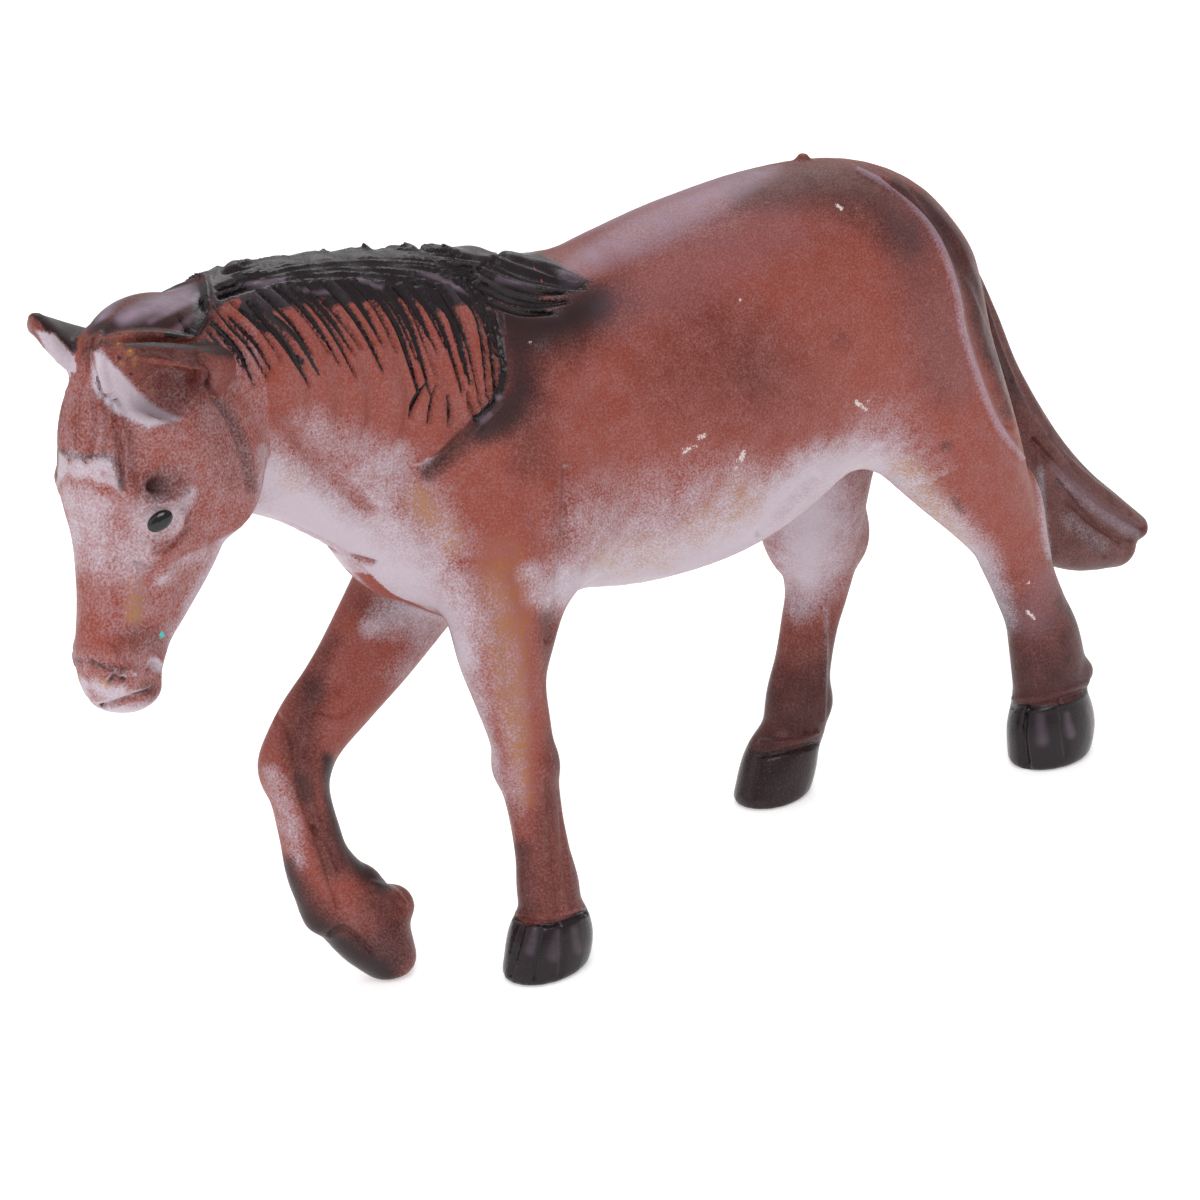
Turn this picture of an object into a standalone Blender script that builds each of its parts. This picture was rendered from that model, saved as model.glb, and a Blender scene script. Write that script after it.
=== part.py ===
"""A moulded toy horse that walks with its head lowered and turned to its left.

Metres, +Z up. The horse faces -X and its left side is -Y. The ground is z = 0, and the origin is
under the middle of the figure's bounding box. The figure is sculpted as one form, and that form is
then parted where the real one is: two glued body shells, a neck, a head, two ears, four legs and a
tail, each with the peg or socket that holds it.
"""
import math

import bmesh
import bpy
from mathutils import Matrix, Vector

# Driving sizes of the trunk
WITHERS_HEIGHT = 0.075
TRUNK_LENGTH = 0.073
TRUNK_DEPTH = 0.041
TRUNK_WIDTH = 0.028
HAUNCH_LENGTH = 0.0256
HAUNCH_DEPTH = 0.0284
HAUNCH_WIDTH = 0.0184

# Driving sizes of the neck, which reaches forward, rises and swings to the left
NECK_REACH = 0.044
NECK_RISE = 0.0145
NECK_SWING = 0.0085
NECK_DEPTH = 0.033
NECK_WIDTH = 0.020
MANE_LOCK_WIDTH = 0.0038
MANE_LOCK_DEPTH = 0.0026

# Driving sizes of the head, the forelock and the ears
HEAD_LENGTH = 0.036
HEAD_DEPTH = 0.020
HEAD_WIDTH = 0.0144
HEAD_TURN = math.radians(20)
EYE_DIAMETER = 0.0024
EAR_LENGTH = 0.0155
EAR_WIDTH = 0.0084
EAR_THICKNESS = 0.0040
EAR_SPREAD = 0.0046

# Driving sizes of the legs and the tail
STEP_LENGTH = 0.020
LEG_SPACING = 0.0166
FORE_LEG_THICKNESS = 0.010
HIND_LEG_THICKNESS = 0.010
TAIL_LENGTH = 0.060
TAIL_THICKNESS = 0.010
TAIL_INSET = 0.0116

# How the pieces are made and fit
SHELL_WALL = 0.0030
FIT_GAP = 0.0003
SEAM_LAP = 0.0020
NECK_PEG_DIAMETER = 0.0090
NECK_PEG_LENGTH = 0.0070
HEAD_PEG_DIAMETER = 0.0060
HEAD_PEG_LENGTH = 0.0060
LEG_PEG_DIAMETER = 0.0050
LEG_PEG_LENGTH = 0.0060
TAIL_PEG_DIAMETER = 0.0036
TAIL_PEG_LENGTH = 0.0090
EAR_PEG_DIAMETER = 0.0022
PIN_DIAMETER = 0.0030
PIN_LENGTH = 0.0040

# How finely the form is sculpted
GRAIN = 0.0013
SOFTENING_LOSS = 0.0004
SOFTENING_FACTOR = 0.5
SOFTENING_PASSES = 3
KEPT_FACE_SHARE = 0.30
SHARP_ANGLE = math.radians(40)
CUT_REACH = 0.200

RING_SIDES = 24
THIN_RING_SIDES = 12
TAIL_RING_SIDES = 16
ROD_SIDES = 16
STEPS_BETWEEN_STATIONS = 3
CAP_STEPS = 3

# Place, height, half width and half depth as shares of TRUNK_LENGTH, WITHERS_HEIGHT, TRUNK_WIDTH and
# TRUNK_DEPTH
TRUNK_SHARES = (
    (-0.305, 0.68, 0.215, 0.2),
    (-0.23, 0.72, 0.34, 0.365),
    (-0.14, 0.752, 0.39, 0.44),
    (0.0, 0.768, 0.43, 0.45),
    (0.14, 0.767, 0.475, 0.49),
    (0.275, 0.779, 0.5, 0.505),
    (0.41, 0.812, 0.49, 0.47),
    (0.55, 0.841, 0.465, 0.4),
    (0.635, 0.845, 0.39, 0.31),
    (0.68, 0.833, 0.25, 0.20),
)
HAUNCH_PLACE_SHARE = 0.545
HAUNCH_HEIGHT_SHARE = 0.804
HAUNCH_SPREAD_SHARE = 0.185

# Shares of NECK_REACH, NECK_SWING, NECK_RISE, NECK_WIDTH and NECK_DEPTH
NECK_ROOT_PLACE_SHARE = -0.03
NECK_ROOT_HEIGHT_SHARE = 0.787
NECK_SHARES = (
    (0.0, 0.0, 0.0, 0.5, 0.44),
    (0.225, 0.06, 0.195, 0.475, 0.505),
    (0.45, 0.26, 0.455, 0.4, 0.48),
    (0.68, 0.54, 0.745, 0.34, 0.41),
    (0.86, 0.8, 0.915, 0.31, 0.36),
    (1.0, 1.0, 0.995, 0.3, 0.29),
)

# The mane is a row of locks on each side. Each station of a lock has its share of the neck's length
# ahead of the lock's own place, its angle down from the crest, and shares of MANE_LOCK_WIDTH and
# MANE_LOCK_DEPTH.
MANE_LOCK_COUNT = 10
MANE_SPAN_SHARES = (0.02, 0.92)
MANE_LOCK_SHARES = (
    (0.14, math.radians(6), 0.40, 0.36),
    (0.09, math.radians(30), 0.48, 0.48),
    (0.01, math.radians(58), 0.50, 0.50),
    (-0.06, math.radians(82), 0.42, 0.44),
    (-0.09, math.radians(98), 0.26, 0.28),
)

# Shares of HEAD_DEPTH forward, HEAD_LENGTH upward, HEAD_WIDTH and HEAD_DEPTH, from the poll
HEAD_SHARES = (
    (0.325, 0.095, 0.375, 0.32),
    (0.43, -0.055, 0.465, 0.44),
    (0.455, -0.195, 0.48, 0.485),
    (0.505, -0.32, 0.425, 0.435),
    (0.64, -0.46, 0.325, 0.335),
    (0.755, -0.555, 0.27, 0.26),
    (0.84, -0.65, 0.245, 0.23),
    (0.885, -0.705, 0.22, 0.13),
)
FORELOCK_SHARES = (
    (-0.2, 0.11, 0.235, 0.15),
    (0.1, 0.15, 0.28, 0.12),
    (0.4, 0.165, 0.265, 0.1),
    (0.6, 0.145, 0.22, 0.1),
)
NOSE_BRIDGE_SHARES = (
    (0.65, -0.055, 0.28, 0.15),
    (0.70, -0.22, 0.25, 0.15),
    (0.78, -0.39, 0.19, 0.12),
    (0.86, -0.54, 0.16, 0.10),
)
POLL_LIFT_SHARE = 0.17
EYE_SHARES = (0.77, 0.345, -0.26)

# Shares of EAR_LENGTH forward, outward and upward, then of EAR_WIDTH and EAR_THICKNESS
EAR_ROOT_SHARES = (0.25, 0.03)
LEFT_EAR_SHARES = (
    (0.03, 0.0, 0.0, 0.45, 0.55),
    (0.32, 0.08, 0.1, 0.5, 0.55),
    (0.645, 0.065, 0.24, 0.42, 0.4),
    (0.89, 0.03, 0.38, 0.11, 0.2),
)
RIGHT_EAR_SHARES = (
    (0.03, 0.0, 0.0, 0.45, 0.55),
    (0.3, 0.07, 0.15, 0.5, 0.55),
    (0.53, 0.065, 0.305, 0.42, 0.4),
    (0.69, 0.03, 0.485, 0.11, 0.2),
)
EAR_OPENING_SHARES = (0.62, 0.50, -0.60)
EAR_HOLLOW_PLACE_SHARE = 0.50
EAR_HOLLOW_LENGTH_SHARE = 0.27
EAR_HOLLOW_WIDTH_SHARE = 0.34
EAR_HOLLOW_DEPTH_SHARE = 0.34

# Shares of STEP_LENGTH from the joint, half of LEG_SPACING and WITHERS_HEIGHT, then of the leg's
# thickness for the half width and the half depth
SHOULDER_PLACE_SHARE = -0.12
HIP_PLACE_SHARE = 0.59
LEFT_FORE_SHARES = (
    (-0.01, 0.78, 0.693, 0.6, 0.85),
    (-0.235, 0.92, 0.607, 0.54, 0.74),
    (-0.32, 1.0, 0.527, 0.44, 0.58),
    (-0.325, 1.0, 0.46, 0.36, 0.43),
    (-0.285, 1.0, 0.387, 0.33, 0.35),
    (-0.26, 1.0, 0.327, 0.32, 0.33),
    (-0.235, 1.0, 0.253, 0.27, 0.3),
    (-0.215, 1.0, 0.187, 0.27, 0.31),
    (-0.2, 1.0, 0.127, 0.31, 0.36),
    (-0.2, 1.0, 0.093, 0.3, 0.33),
)
LEFT_FORE_HOOF_SHARES = (
    (-0.2, 1.0, 0.088, 0.34, 0.4),
    (-0.225, 1.0, 0.047, 0.39, 0.48),
    (-0.26, 1.0, 0.0, 0.42, 0.53),
)
RIGHT_FORE_SHARES = (
    (0.04, 0.78, 0.693, 0.65, 0.85),
    (-0.26, 0.84, 0.6, 0.56, 0.7),
    (-0.64, 0.84, 0.501, 0.44, 0.57),
    (-0.9, 0.78, 0.448, 0.36, 0.49),
    (-1.14, 0.72, 0.404, 0.34, 0.44),
    (-1.275, 0.66, 0.363, 0.33, 0.4),
    (-1.285, 0.6, 0.317, 0.29, 0.33),
    (-1.27, 0.55, 0.259, 0.28, 0.34),
    (-1.245, 0.52, 0.203, 0.3, 0.38),
    (-1.155, 0.48, 0.144, 0.32, 0.46),
)
RIGHT_FORE_HOOF_SHARES = (
    (-1.11, 0.48, 0.137, 0.33, 0.46),
    (-0.99, 0.445, 0.08, 0.33, 0.44),
    (-0.9, 0.4, 0.027, 0.27, 0.3),
)
LEFT_HIND_SHARES = (
    (0.0, 0.66, 0.827, 0.8, 1.2),
    (0.17, 0.87, 0.693, 0.75, 1.06),
    (0.385, 0.96, 0.587, 0.65, 0.84),
    (0.61, 1.0, 0.485, 0.48, 0.6),
    (0.745, 1.0, 0.427, 0.39, 0.5),
    (0.825, 1.0, 0.379, 0.35, 0.48),
    (0.89, 1.0, 0.327, 0.33, 0.43),
    (0.98, 1.0, 0.268, 0.33, 0.43),
    (1.045, 1.0, 0.215, 0.37, 0.49),
    (1.08, 1.0, 0.156, 0.39, 0.51),
    (1.08, 1.0, 0.117, 0.38, 0.49),
)
LEFT_HIND_HOOF_SHARES = (
    (1.075, 1.0, 0.109, 0.41, 0.51),
    (1.085, 1.0, 0.053, 0.47, 0.59),
    (1.055, 1.0, 0.0, 0.48, 0.6),
)
RIGHT_HIND_SHARES = (
    (0.0, 0.66, 0.827, 0.8, 1.2),
    (0.02, 0.84, 0.693, 0.75, 1.1),
    (-0.035, 0.96, 0.56, 0.65, 0.86),
    (-0.065, 1.0, 0.447, 0.52, 0.7),
    (-0.02, 1.0, 0.392, 0.38, 0.57),
    (-0.055, 1.0, 0.331, 0.31, 0.45),
    (-0.125, 1.0, 0.28, 0.29, 0.4),
    (-0.195, 1.0, 0.22, 0.29, 0.39),
    (-0.26, 1.0, 0.163, 0.32, 0.43),
    (-0.305, 1.0, 0.107, 0.33, 0.42),
)
RIGHT_HIND_HOOF_SHARES = (
    (-0.335, 1.0, 0.096, 0.35, 0.39),
    (-0.435, 1.0, 0.053, 0.41, 0.49),
    (-0.505, 1.0, 0.0, 0.43, 0.55),
)

# Shares of TAIL_LENGTH back and up from the dock, then of TAIL_THICKNESS for the half width and the
# half depth
TAIL_ROOT_HEIGHT_SHARE = 0.977
TAIL_PEG_STATION = 3
TAIL_SHARES = (
    (0.0, 0.0, 0.2, 0.18),
    (0.06, 0.0, 0.26, 0.22),
    (0.118, -0.06, 0.3, 0.25),
    (0.215, -0.168, 0.34, 0.28),
    (0.273, -0.288, 0.37, 0.31),
    (0.33, -0.425, 0.39, 0.33),
    (0.43, -0.59, 0.4, 0.35),
    (0.532, -0.708, 0.39, 0.34),
    (0.64, -0.795, 0.34, 0.29),
    (0.73, -0.852, 0.24, 0.19),
)
TAIL_LOBE_SHARES = (
    (0.267, -0.455, 0.32, 0.30),
    (0.35, -0.613, 0.36, 0.42),
    (0.443, -0.745, 0.37, 0.50),
    (0.557, -0.828, 0.35, 0.44),
    (0.677, -0.878, 0.28, 0.30),
)

# Where the form is parted. Places are shares of TRUNK_LENGTH and heights are shares of WITHERS_HEIGHT;
# a leg's seam also has the angle that it leans at.
NECK_SEAM_PLACE_SHARE = -0.145
NECK_SEAM_HEIGHT_SHARE = 0.84
NECK_SEAM_LEAN = math.radians(28)
HEAD_SEAM_SHARE = -0.075
FORE_SEAM = (-0.19, 0.58, math.radians(-22))
LEFT_HIND_SEAM = (0.67, 0.613, math.radians(31))
RIGHT_HIND_SEAM = (0.575, 0.587, math.radians(26))
GROIN_SHARE = 0.20
PEG_SIDE_SHARE = 0.90
CAVITY_SPAN_SHARES = (0.07, 0.52)
PIN_PLACE_SHARES = ((-0.075, 0.62), (0.60, 0.76), (0.0, 0.90))

# Paint colours, and how rough the paint is
RED_BROWN = (0.36, 0.135, 0.085)
DARK_BROWN = (0.11, 0.055, 0.045)
PLASTIC_ROUGHNESS = 0.45

LEFT = -1
RIGHT = 1

# Each leg and hoof: its stations, its joint, its side and its thickness
LEG_TABLES = (
    (LEFT_FORE_SHARES, SHOULDER_PLACE_SHARE, LEFT, FORE_LEG_THICKNESS),
    (LEFT_FORE_HOOF_SHARES, SHOULDER_PLACE_SHARE, LEFT, FORE_LEG_THICKNESS),
    (RIGHT_FORE_SHARES, SHOULDER_PLACE_SHARE, RIGHT, FORE_LEG_THICKNESS),
    (RIGHT_FORE_HOOF_SHARES, SHOULDER_PLACE_SHARE, RIGHT, FORE_LEG_THICKNESS),
    (LEFT_HIND_SHARES, HIP_PLACE_SHARE, LEFT, HIND_LEG_THICKNESS),
    (LEFT_HIND_HOOF_SHARES, HIP_PLACE_SHARE, LEFT, HIND_LEG_THICKNESS),
    (RIGHT_HIND_SHARES, HIP_PLACE_SHARE, RIGHT, HIND_LEG_THICKNESS),
    (RIGHT_HIND_HOOF_SHARES, HIP_PLACE_SHARE, RIGHT, HIND_LEG_THICKNESS),
)


def clear_scene():
    """Empty the file, so that the figure is built from nothing."""
    for item in list(bpy.data.objects):
        bpy.data.objects.remove(item, do_unlink=True)


def new_collection(name):
    """A collection linked to the scene."""
    collection = bpy.data.collections.new(name)
    bpy.context.scene.collection.children.link(collection)
    return collection


def new_object(name, mesh, collection):
    """An object for the mesh, in the collection."""
    item = bpy.data.objects.new(name, mesh)
    collection.objects.link(item)
    return item


def mesh_from(shape, name):
    """Turn a finished bmesh into a mesh with its faces pointing out."""
    bmesh.ops.recalc_face_normals(shape, faces=shape.faces)
    mesh = bpy.data.meshes.new(name)
    shape.to_mesh(mesh)
    shape.free()
    return mesh


def between(before, start, end, after, share):
    """A point on the smooth curve from start to end, with its neighbours' help."""
    straight = end - before
    bend = before * 2 - start * 5 + end * 4 - after
    twist = start * 3 - before - end * 3 + after
    return (start * 2 + straight * share + bend * share**2 + twist * share**3) / 2


def smoothed(rows):
    """More stations along a run: each row is a vector of x, y, z, half width and half depth."""
    last = len(rows) - 1
    fine = []
    for index in range(last):
        before = rows[max(index - 1, 0)]
        after = rows[min(index + 2, last)]
        for step in range(STEPS_BETWEEN_STATIONS):
            share = step / STEPS_BETWEEN_STATIONS
            fine.append(between(before, rows[index], rows[index + 1], after, share))
    fine.append(rows[last])
    return fine


def ring(shape, centre, side, rise, half_width, half_depth, count):
    """One elliptical ring of vertices."""
    points = []
    for index in range(count):
        angle = math.tau * index / count
        offset = side * (math.cos(angle) * half_width) + rise * (math.sin(angle) * half_depth)
        points.append(shape.verts.new(centre + offset))
    return points


def loft(shape, rows, side, grow=0.0, count=RING_SIDES):
    """Add a closed run of elliptical sections with rounded ends to the bmesh.

    The half widths lie along the side direction, and the sections stand square to the run.
    """
    fine = smoothed([Vector(row) for row in rows])
    centres = [Vector(row[:3]) for row in fine]
    rings = []
    for index, centre in enumerate(centres):
        ahead = centres[min(index + 1, len(centres) - 1)]
        behind = centres[max(index - 1, 0)]
        along = (ahead - behind).normalized()
        across = (side - along * side.dot(along)).normalized()
        rise = along.cross(across)
        half_width = fine[index][3] + grow
        half_depth = fine[index][4] + grow
        if index == 0:
            rings += cap_rings(shape, centre, -along, across, rise, half_width, half_depth, count)[::-1]
        rings.append(ring(shape, centre, across, rise, half_width, half_depth, count))
        if index == len(centres) - 1:
            rings += cap_rings(shape, centre, along, across, rise, half_width, half_depth, count)
    for lower, upper in zip(rings, rings[1:]):
        skin_between(shape, lower, upper)


def cap_rings(shape, centre, outward, across, rise, half_width, half_depth, count):
    """The rings of a rounded end, from its rim to its pole."""
    reach = min(half_width, half_depth)
    rings = []
    for step in range(1, CAP_STEPS):
        angle = step / CAP_STEPS * math.pi / 2
        spot = centre + outward * (reach * math.sin(angle))
        narrowing = math.cos(angle)
        rings.append(ring(shape, spot, across, rise, half_width * narrowing, half_depth * narrowing, count))
    rings.append([shape.verts.new(centre + outward * reach)])
    return rings


def skin_between(shape, lower, upper):
    """Join two rings with faces; either ring may be a single pole."""
    count = max(len(lower), len(upper))
    for index in range(count):
        following = (index + 1) % count
        if len(lower) == 1:
            shape.faces.new((lower[0], upper[following], upper[index]))
        elif len(upper) == 1:
            shape.faces.new((lower[index], lower[following], upper[0]))
        else:
            shape.faces.new((lower[index], lower[following], upper[following], upper[index]))


def ball(shape, centre, radii):
    """Add an ellipsoid to the bmesh."""
    place = Matrix.Translation(centre) @ Matrix.Diagonal((*radii, 1))
    bmesh.ops.create_uvsphere(
        shape, u_segments=RING_SIDES, v_segments=RING_SIDES // 2, radius=1, matrix=place
    )


def trunk_rows(inset=0.0):
    """Stations of the trunk, drawn in by a wall where one is given."""
    rows = []
    for place, height, half_width, half_depth in TRUNK_SHARES:
        rows.append((
            place * TRUNK_LENGTH,
            0,
            height * WITHERS_HEIGHT,
            half_width * TRUNK_WIDTH - inset,
            half_depth * TRUNK_DEPTH - inset,
        ))
    return rows


def neck_root():
    """The middle of the neck's base inside the shoulders."""
    return Vector((NECK_ROOT_PLACE_SHARE * TRUNK_LENGTH, 0, NECK_ROOT_HEIGHT_SHARE * WITHERS_HEIGHT))


def neck_rows():
    """Stations of the neck from the shoulders to the poll."""
    root = neck_root()
    rows = []
    for reach, swing, rise, half_width, half_depth in NECK_SHARES:
        rows.append((
            root.x - reach * NECK_REACH,
            root.y - swing * NECK_SWING,
            root.z + rise * NECK_RISE,
            half_width * NECK_WIDTH,
            half_depth * NECK_DEPTH,
        ))
    return rows


def mane_rows(root_share, hand):
    """Stations of one lock of the mane, which hangs from the crest on one side of the neck."""
    stations = smoothed([Vector(row) for row in neck_rows()])
    rows = []
    for along_share, angle, half_width, half_depth in MANE_LOCK_SHARES:
        place = min(max(root_share + along_share, 0), 1) * (len(stations) - 1)
        index = min(int(place), len(stations) - 2)
        station = stations[index].lerp(stations[index + 1], place - index)
        along = (Vector(stations[index + 1][:3]) - Vector(stations[index][:3])).normalized()
        side = Vector((0, hand, 0))
        up = Vector((0, 0, 1))
        across = (side - along * side.dot(along)).normalized()
        rise = (up - along * up.dot(along)).normalized()
        centre = Vector(station[:3])
        centre += across * (math.sin(angle) * station[3]) + rise * (math.cos(angle) * station[4])
        rows.append((*centre, half_width * MANE_LOCK_WIDTH, half_depth * MANE_LOCK_DEPTH))
    return rows


def poll():
    """The top of the neck, where the head turns."""
    lift = POLL_LIFT_SHARE * NECK_RISE
    return neck_root() + Vector((-NECK_REACH, -NECK_SWING, NECK_RISE + lift))


def head_axes():
    """The head's forward and left directions once it is turned."""
    forward = Vector((-math.cos(HEAD_TURN), -math.sin(HEAD_TURN), 0))
    left = Vector((math.sin(HEAD_TURN), -math.cos(HEAD_TURN), 0))
    return forward, left


def head_point(forward_by, left_by, up_by):
    """A point given in the turned head's own directions."""
    forward, left = head_axes()
    return poll() + forward * forward_by + left * left_by + Vector((0, 0, up_by))


def head_rows(shares):
    """Stations of the head or the forelock, in the head's middle plane."""
    rows = []
    for forward_by, up_by, half_width, half_depth in shares:
        centre = head_point(forward_by * HEAD_DEPTH, 0, up_by * HEAD_LENGTH)
        rows.append((*centre, half_width * HEAD_WIDTH, half_depth * HEAD_DEPTH))
    return rows


def leg_rows(shares, joint_share, hand, thickness):
    """Stations of a leg or a hoof, from its joint's place along the trunk."""
    rows = []
    for step, stance, height, half_width, half_depth in shares:
        rows.append((
            joint_share * TRUNK_LENGTH + step * STEP_LENGTH,
            hand * stance * LEG_SPACING / 2,
            height * WITHERS_HEIGHT,
            half_width * thickness,
            half_depth * thickness,
        ))
    return rows


def tail_root():
    """The dock, where the tail leaves the croup, set in from the rump's end."""
    last = trunk_rows()[-1]
    rump_end = last[0] + min(last[3], last[4])
    return Vector((rump_end - TAIL_INSET, 0, TAIL_ROOT_HEIGHT_SHARE * WITHERS_HEIGHT))


def tail_rows(shares):
    """Stations of a strand of the tail."""
    root = tail_root()
    rows = []
    for back, up, half_width, half_depth in shares:
        rows.append((
            root.x + back * TAIL_LENGTH,
            0,
            root.z + up * TAIL_LENGTH,
            half_width * TAIL_THICKNESS,
            half_depth * TAIL_THICKNESS,
        ))
    return rows


def sculpted_form(name, grow, collection):
    """The whole figure without its tail and ears, as one skin, larger by the growth."""
    side = Vector((0, 1, 0))
    _, head_side = head_axes()
    shape = bmesh.new()
    loft(shape, trunk_rows(), side, grow)
    loft(shape, neck_rows(), side, grow)
    loft(shape, head_rows(HEAD_SHARES), head_side, grow)
    loft(shape, head_rows(FORELOCK_SHARES), head_side, grow)
    loft(shape, head_rows(NOSE_BRIDGE_SHARES), head_side, grow)
    first, last = MANE_SPAN_SHARES
    for index in range(MANE_LOCK_COUNT):
        root_share = first + (last - first) * index / (MANE_LOCK_COUNT - 1)
        for hand in (LEFT, RIGHT):
            loft(shape, mane_rows(root_share, hand), Vector((1, 0, 0)), grow, THIN_RING_SIDES)
    for shares, joint_share, hand, thickness in LEG_TABLES:
        loft(shape, leg_rows(shares, joint_share, hand, thickness), side, grow)
    for hand in (LEFT, RIGHT):
        haunch = Vector((
            HAUNCH_PLACE_SHARE * TRUNK_LENGTH,
            hand * HAUNCH_SPREAD_SHARE * TRUNK_WIDTH,
            HAUNCH_HEIGHT_SHARE * WITHERS_HEIGHT,
        ))
        radii = (HAUNCH_LENGTH / 2 + grow, HAUNCH_WIDTH / 2 + grow, HAUNCH_DEPTH / 2 + grow)
        ball(shape, haunch, radii)
        forward_by, left_by, up_by = EYE_SHARES
        eye = head_point(forward_by * HEAD_DEPTH, -hand * left_by * HEAD_WIDTH, up_by * HEAD_LENGTH)
        ball(shape, eye, (EYE_DIAMETER / 2 + grow,) * 3)
    item = new_object(name, mesh_from(shape, name), collection)
    skin = item.modifiers.new("One skin", "REMESH")
    skin.mode = "VOXEL"
    skin.voxel_size = GRAIN
    soften = item.modifiers.new("Soften", "SMOOTH")
    soften.factor = SOFTENING_FACTOR
    soften.iterations = SOFTENING_PASSES
    thin = item.modifiers.new("Fewer faces", "DECIMATE")
    thin.ratio = KEPT_FACE_SHARE
    return baked(item)


def baked(item):
    """Fix an object's modifiers into its mesh."""
    bpy.context.view_layer.update()
    graph = bpy.context.evaluated_depsgraph_get()
    mesh = bpy.data.meshes.new_from_object(item.evaluated_get(graph))
    item.modifiers.clear()
    item.data = mesh
    return item


def cutter(item):
    """Mark an object as a tool that isn't part of the figure."""
    item.hide_render = True
    item.display_type = "WIRE"
    return item


def block(name, centre, half_sizes, turn):
    """A box cutter, turned about its centre."""
    shape = bmesh.new()
    bmesh.ops.create_cube(shape, size=2, matrix=Matrix.Diagonal((*half_sizes, 1)))
    item = cutter(new_object(name, mesh_from(shape, name), CUTTERS))
    item.matrix_world = Matrix.Translation(centre) @ turn
    return baked_in_place(item)


def baked_in_place(item):
    """Move an object's placement into its mesh, so that it can be reused freely."""
    item.data.transform(item.matrix_world)
    item.matrix_world = Matrix.Identity(4)
    return item


def rod(name, start, end, diameter):
    """A round rod between two points, as a cutter or a peg."""
    shape = bmesh.new()
    length = (end - start).length
    bmesh.ops.create_cone(
        shape, cap_ends=True, segments=ROD_SIDES, radius1=diameter / 2, radius2=diameter / 2, depth=length
    )
    item = cutter(new_object(name, mesh_from(shape, name), CUTTERS))
    turn = (end - start).to_track_quat("Z", "Y").to_matrix().to_4x4()
    item.matrix_world = Matrix.Translation((start + end) / 2) @ turn
    return baked_in_place(item)


def seam_block(name, rows, seam, inner_side, hand, grow):
    """The space below a leaning seam on one side of the figure, where a leg is parted off.

    The block's top face is the seam, its inner face stands beside the middle plane, and its ends clear
    the leg's own stations.
    """
    place_share, height_share, lean = seam
    top = Vector((place_share * TRUNK_LENGTH, 0, height_share * WITHERS_HEIGHT))
    turn = Matrix.Rotation(-lean, 4, "Y")
    down = turn @ Vector((0, 0, -1))
    along = turn @ Vector((1, 0, 0))
    reaches = [(Vector(row[:3]) - top).dot(along) for row in rows]
    front = min(reach - row[4] for reach, row in zip(reaches, rows)) - SEAM_LAP
    rear = max(reach + row[4] for reach, row in zip(reaches, rows)) + SEAM_LAP
    half = CUT_REACH / 2
    centre = top + along * ((front + rear) / 2) + down * (half - grow)
    centre.y += hand * (inner_side + half - grow)
    return block(name, centre, ((rear - front) / 2, half, half), turn)


def cut(item, tool, operation):
    """Add one Boolean step to an object.

    The solver is the manifold one, because the exact one loses faces on the thinned skin.
    """
    step = item.modifiers.new(tool.name, "BOOLEAN")
    step.operation = operation
    step.solver = "MANIFOLD"
    step.object = tool


def piece(name, source, colour, steps):
    """Copy the source form under a new name and work it through its Boolean steps."""
    item = new_object(name, source.data.copy(), PARTS)
    for operation, tool in steps:
        cut(item, tool, operation)
    baked(item)
    item.data.shade_smooth()
    item.data.set_sharp_from_angle(angle=SHARP_ANGLE)
    paint = bpy.data.materials.new(name + "_paint")
    paint.use_nodes = True
    surface = paint.node_tree.nodes["Principled BSDF"]
    surface.inputs["Base Color"].default_value = (*colour, 1)
    surface.inputs["Roughness"].default_value = PLASTIC_ROUGHNESS
    surface.inputs["Metallic"].default_value = 0
    item.data.materials.clear()
    item.data.materials.append(paint)
    return item


def peg_pair(name, inside, tip, diameter):
    """A peg that starts inside its own piece, and the roomier socket for it."""
    clear = (tip - inside).normalized() * FIT_GAP
    peg = rod(name + " peg", inside, tip, diameter)
    socket = rod(name + " socket", inside, tip + clear, diameter + FIT_GAP * 2)
    return peg, socket


def seam_peg(name, middle, direction, diameter, length):
    """The peg that crosses a seam at its middle, and its socket."""
    return peg_pair(name, middle - direction * SEAM_LAP, middle + direction * length, diameter)


def leg_parts(name, rows, seam, inner_side, hand):
    """The blocks that part a leg off, and its peg and socket."""
    place_share, height_share, lean = seam
    inside = seam_block(name + " inside", rows, seam, inner_side, hand, -FIT_GAP / 2)
    outside = seam_block(name + " outside", rows, seam, inner_side, hand, FIT_GAP / 2)
    start = Vector((
        place_share * TRUNK_LENGTH,
        hand * PEG_SIDE_SHARE * LEG_SPACING / 2,
        height_share * WITHERS_HEIGHT,
    ))
    up = Matrix.Rotation(-lean, 4, "Y") @ Vector((0, 0, 1))
    peg, socket = seam_peg(name, start, up, LEG_PEG_DIAMETER, LEG_PEG_LENGTH)
    return inside, outside, peg, socket


def head_block(name, grow):
    """The space in front of the seam behind the jaw."""
    half = HEAD_LENGTH
    centre = head_point(HEAD_SEAM_SHARE * HEAD_DEPTH + half - grow, 0, 0)
    turn = Matrix.Rotation(HEAD_TURN, 4, "Z")
    return block(name, centre, (half, half, half), turn)


def neck_block(name, grow):
    """The space in front of the leaning seam at the shoulders."""
    middle = Vector((NECK_SEAM_PLACE_SHARE * TRUNK_LENGTH, 0, NECK_SEAM_HEIGHT_SHARE * WITHERS_HEIGHT))
    turn = Matrix.Rotation(NECK_SEAM_LEAN, 4, "Y")
    half = CUT_REACH / 2
    forward = turn @ Vector((-1, 0, 0))
    return block(name, middle + forward * (half - grow), (half, half, half), turn)


def half_block(name, hand):
    """The space on one side of the middle plane."""
    half = CUT_REACH / 2
    centre = Vector((0, hand * (half + FIT_GAP / 2), 0))
    return block(name, centre, (half, half, half), Matrix.Identity(4))


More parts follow.
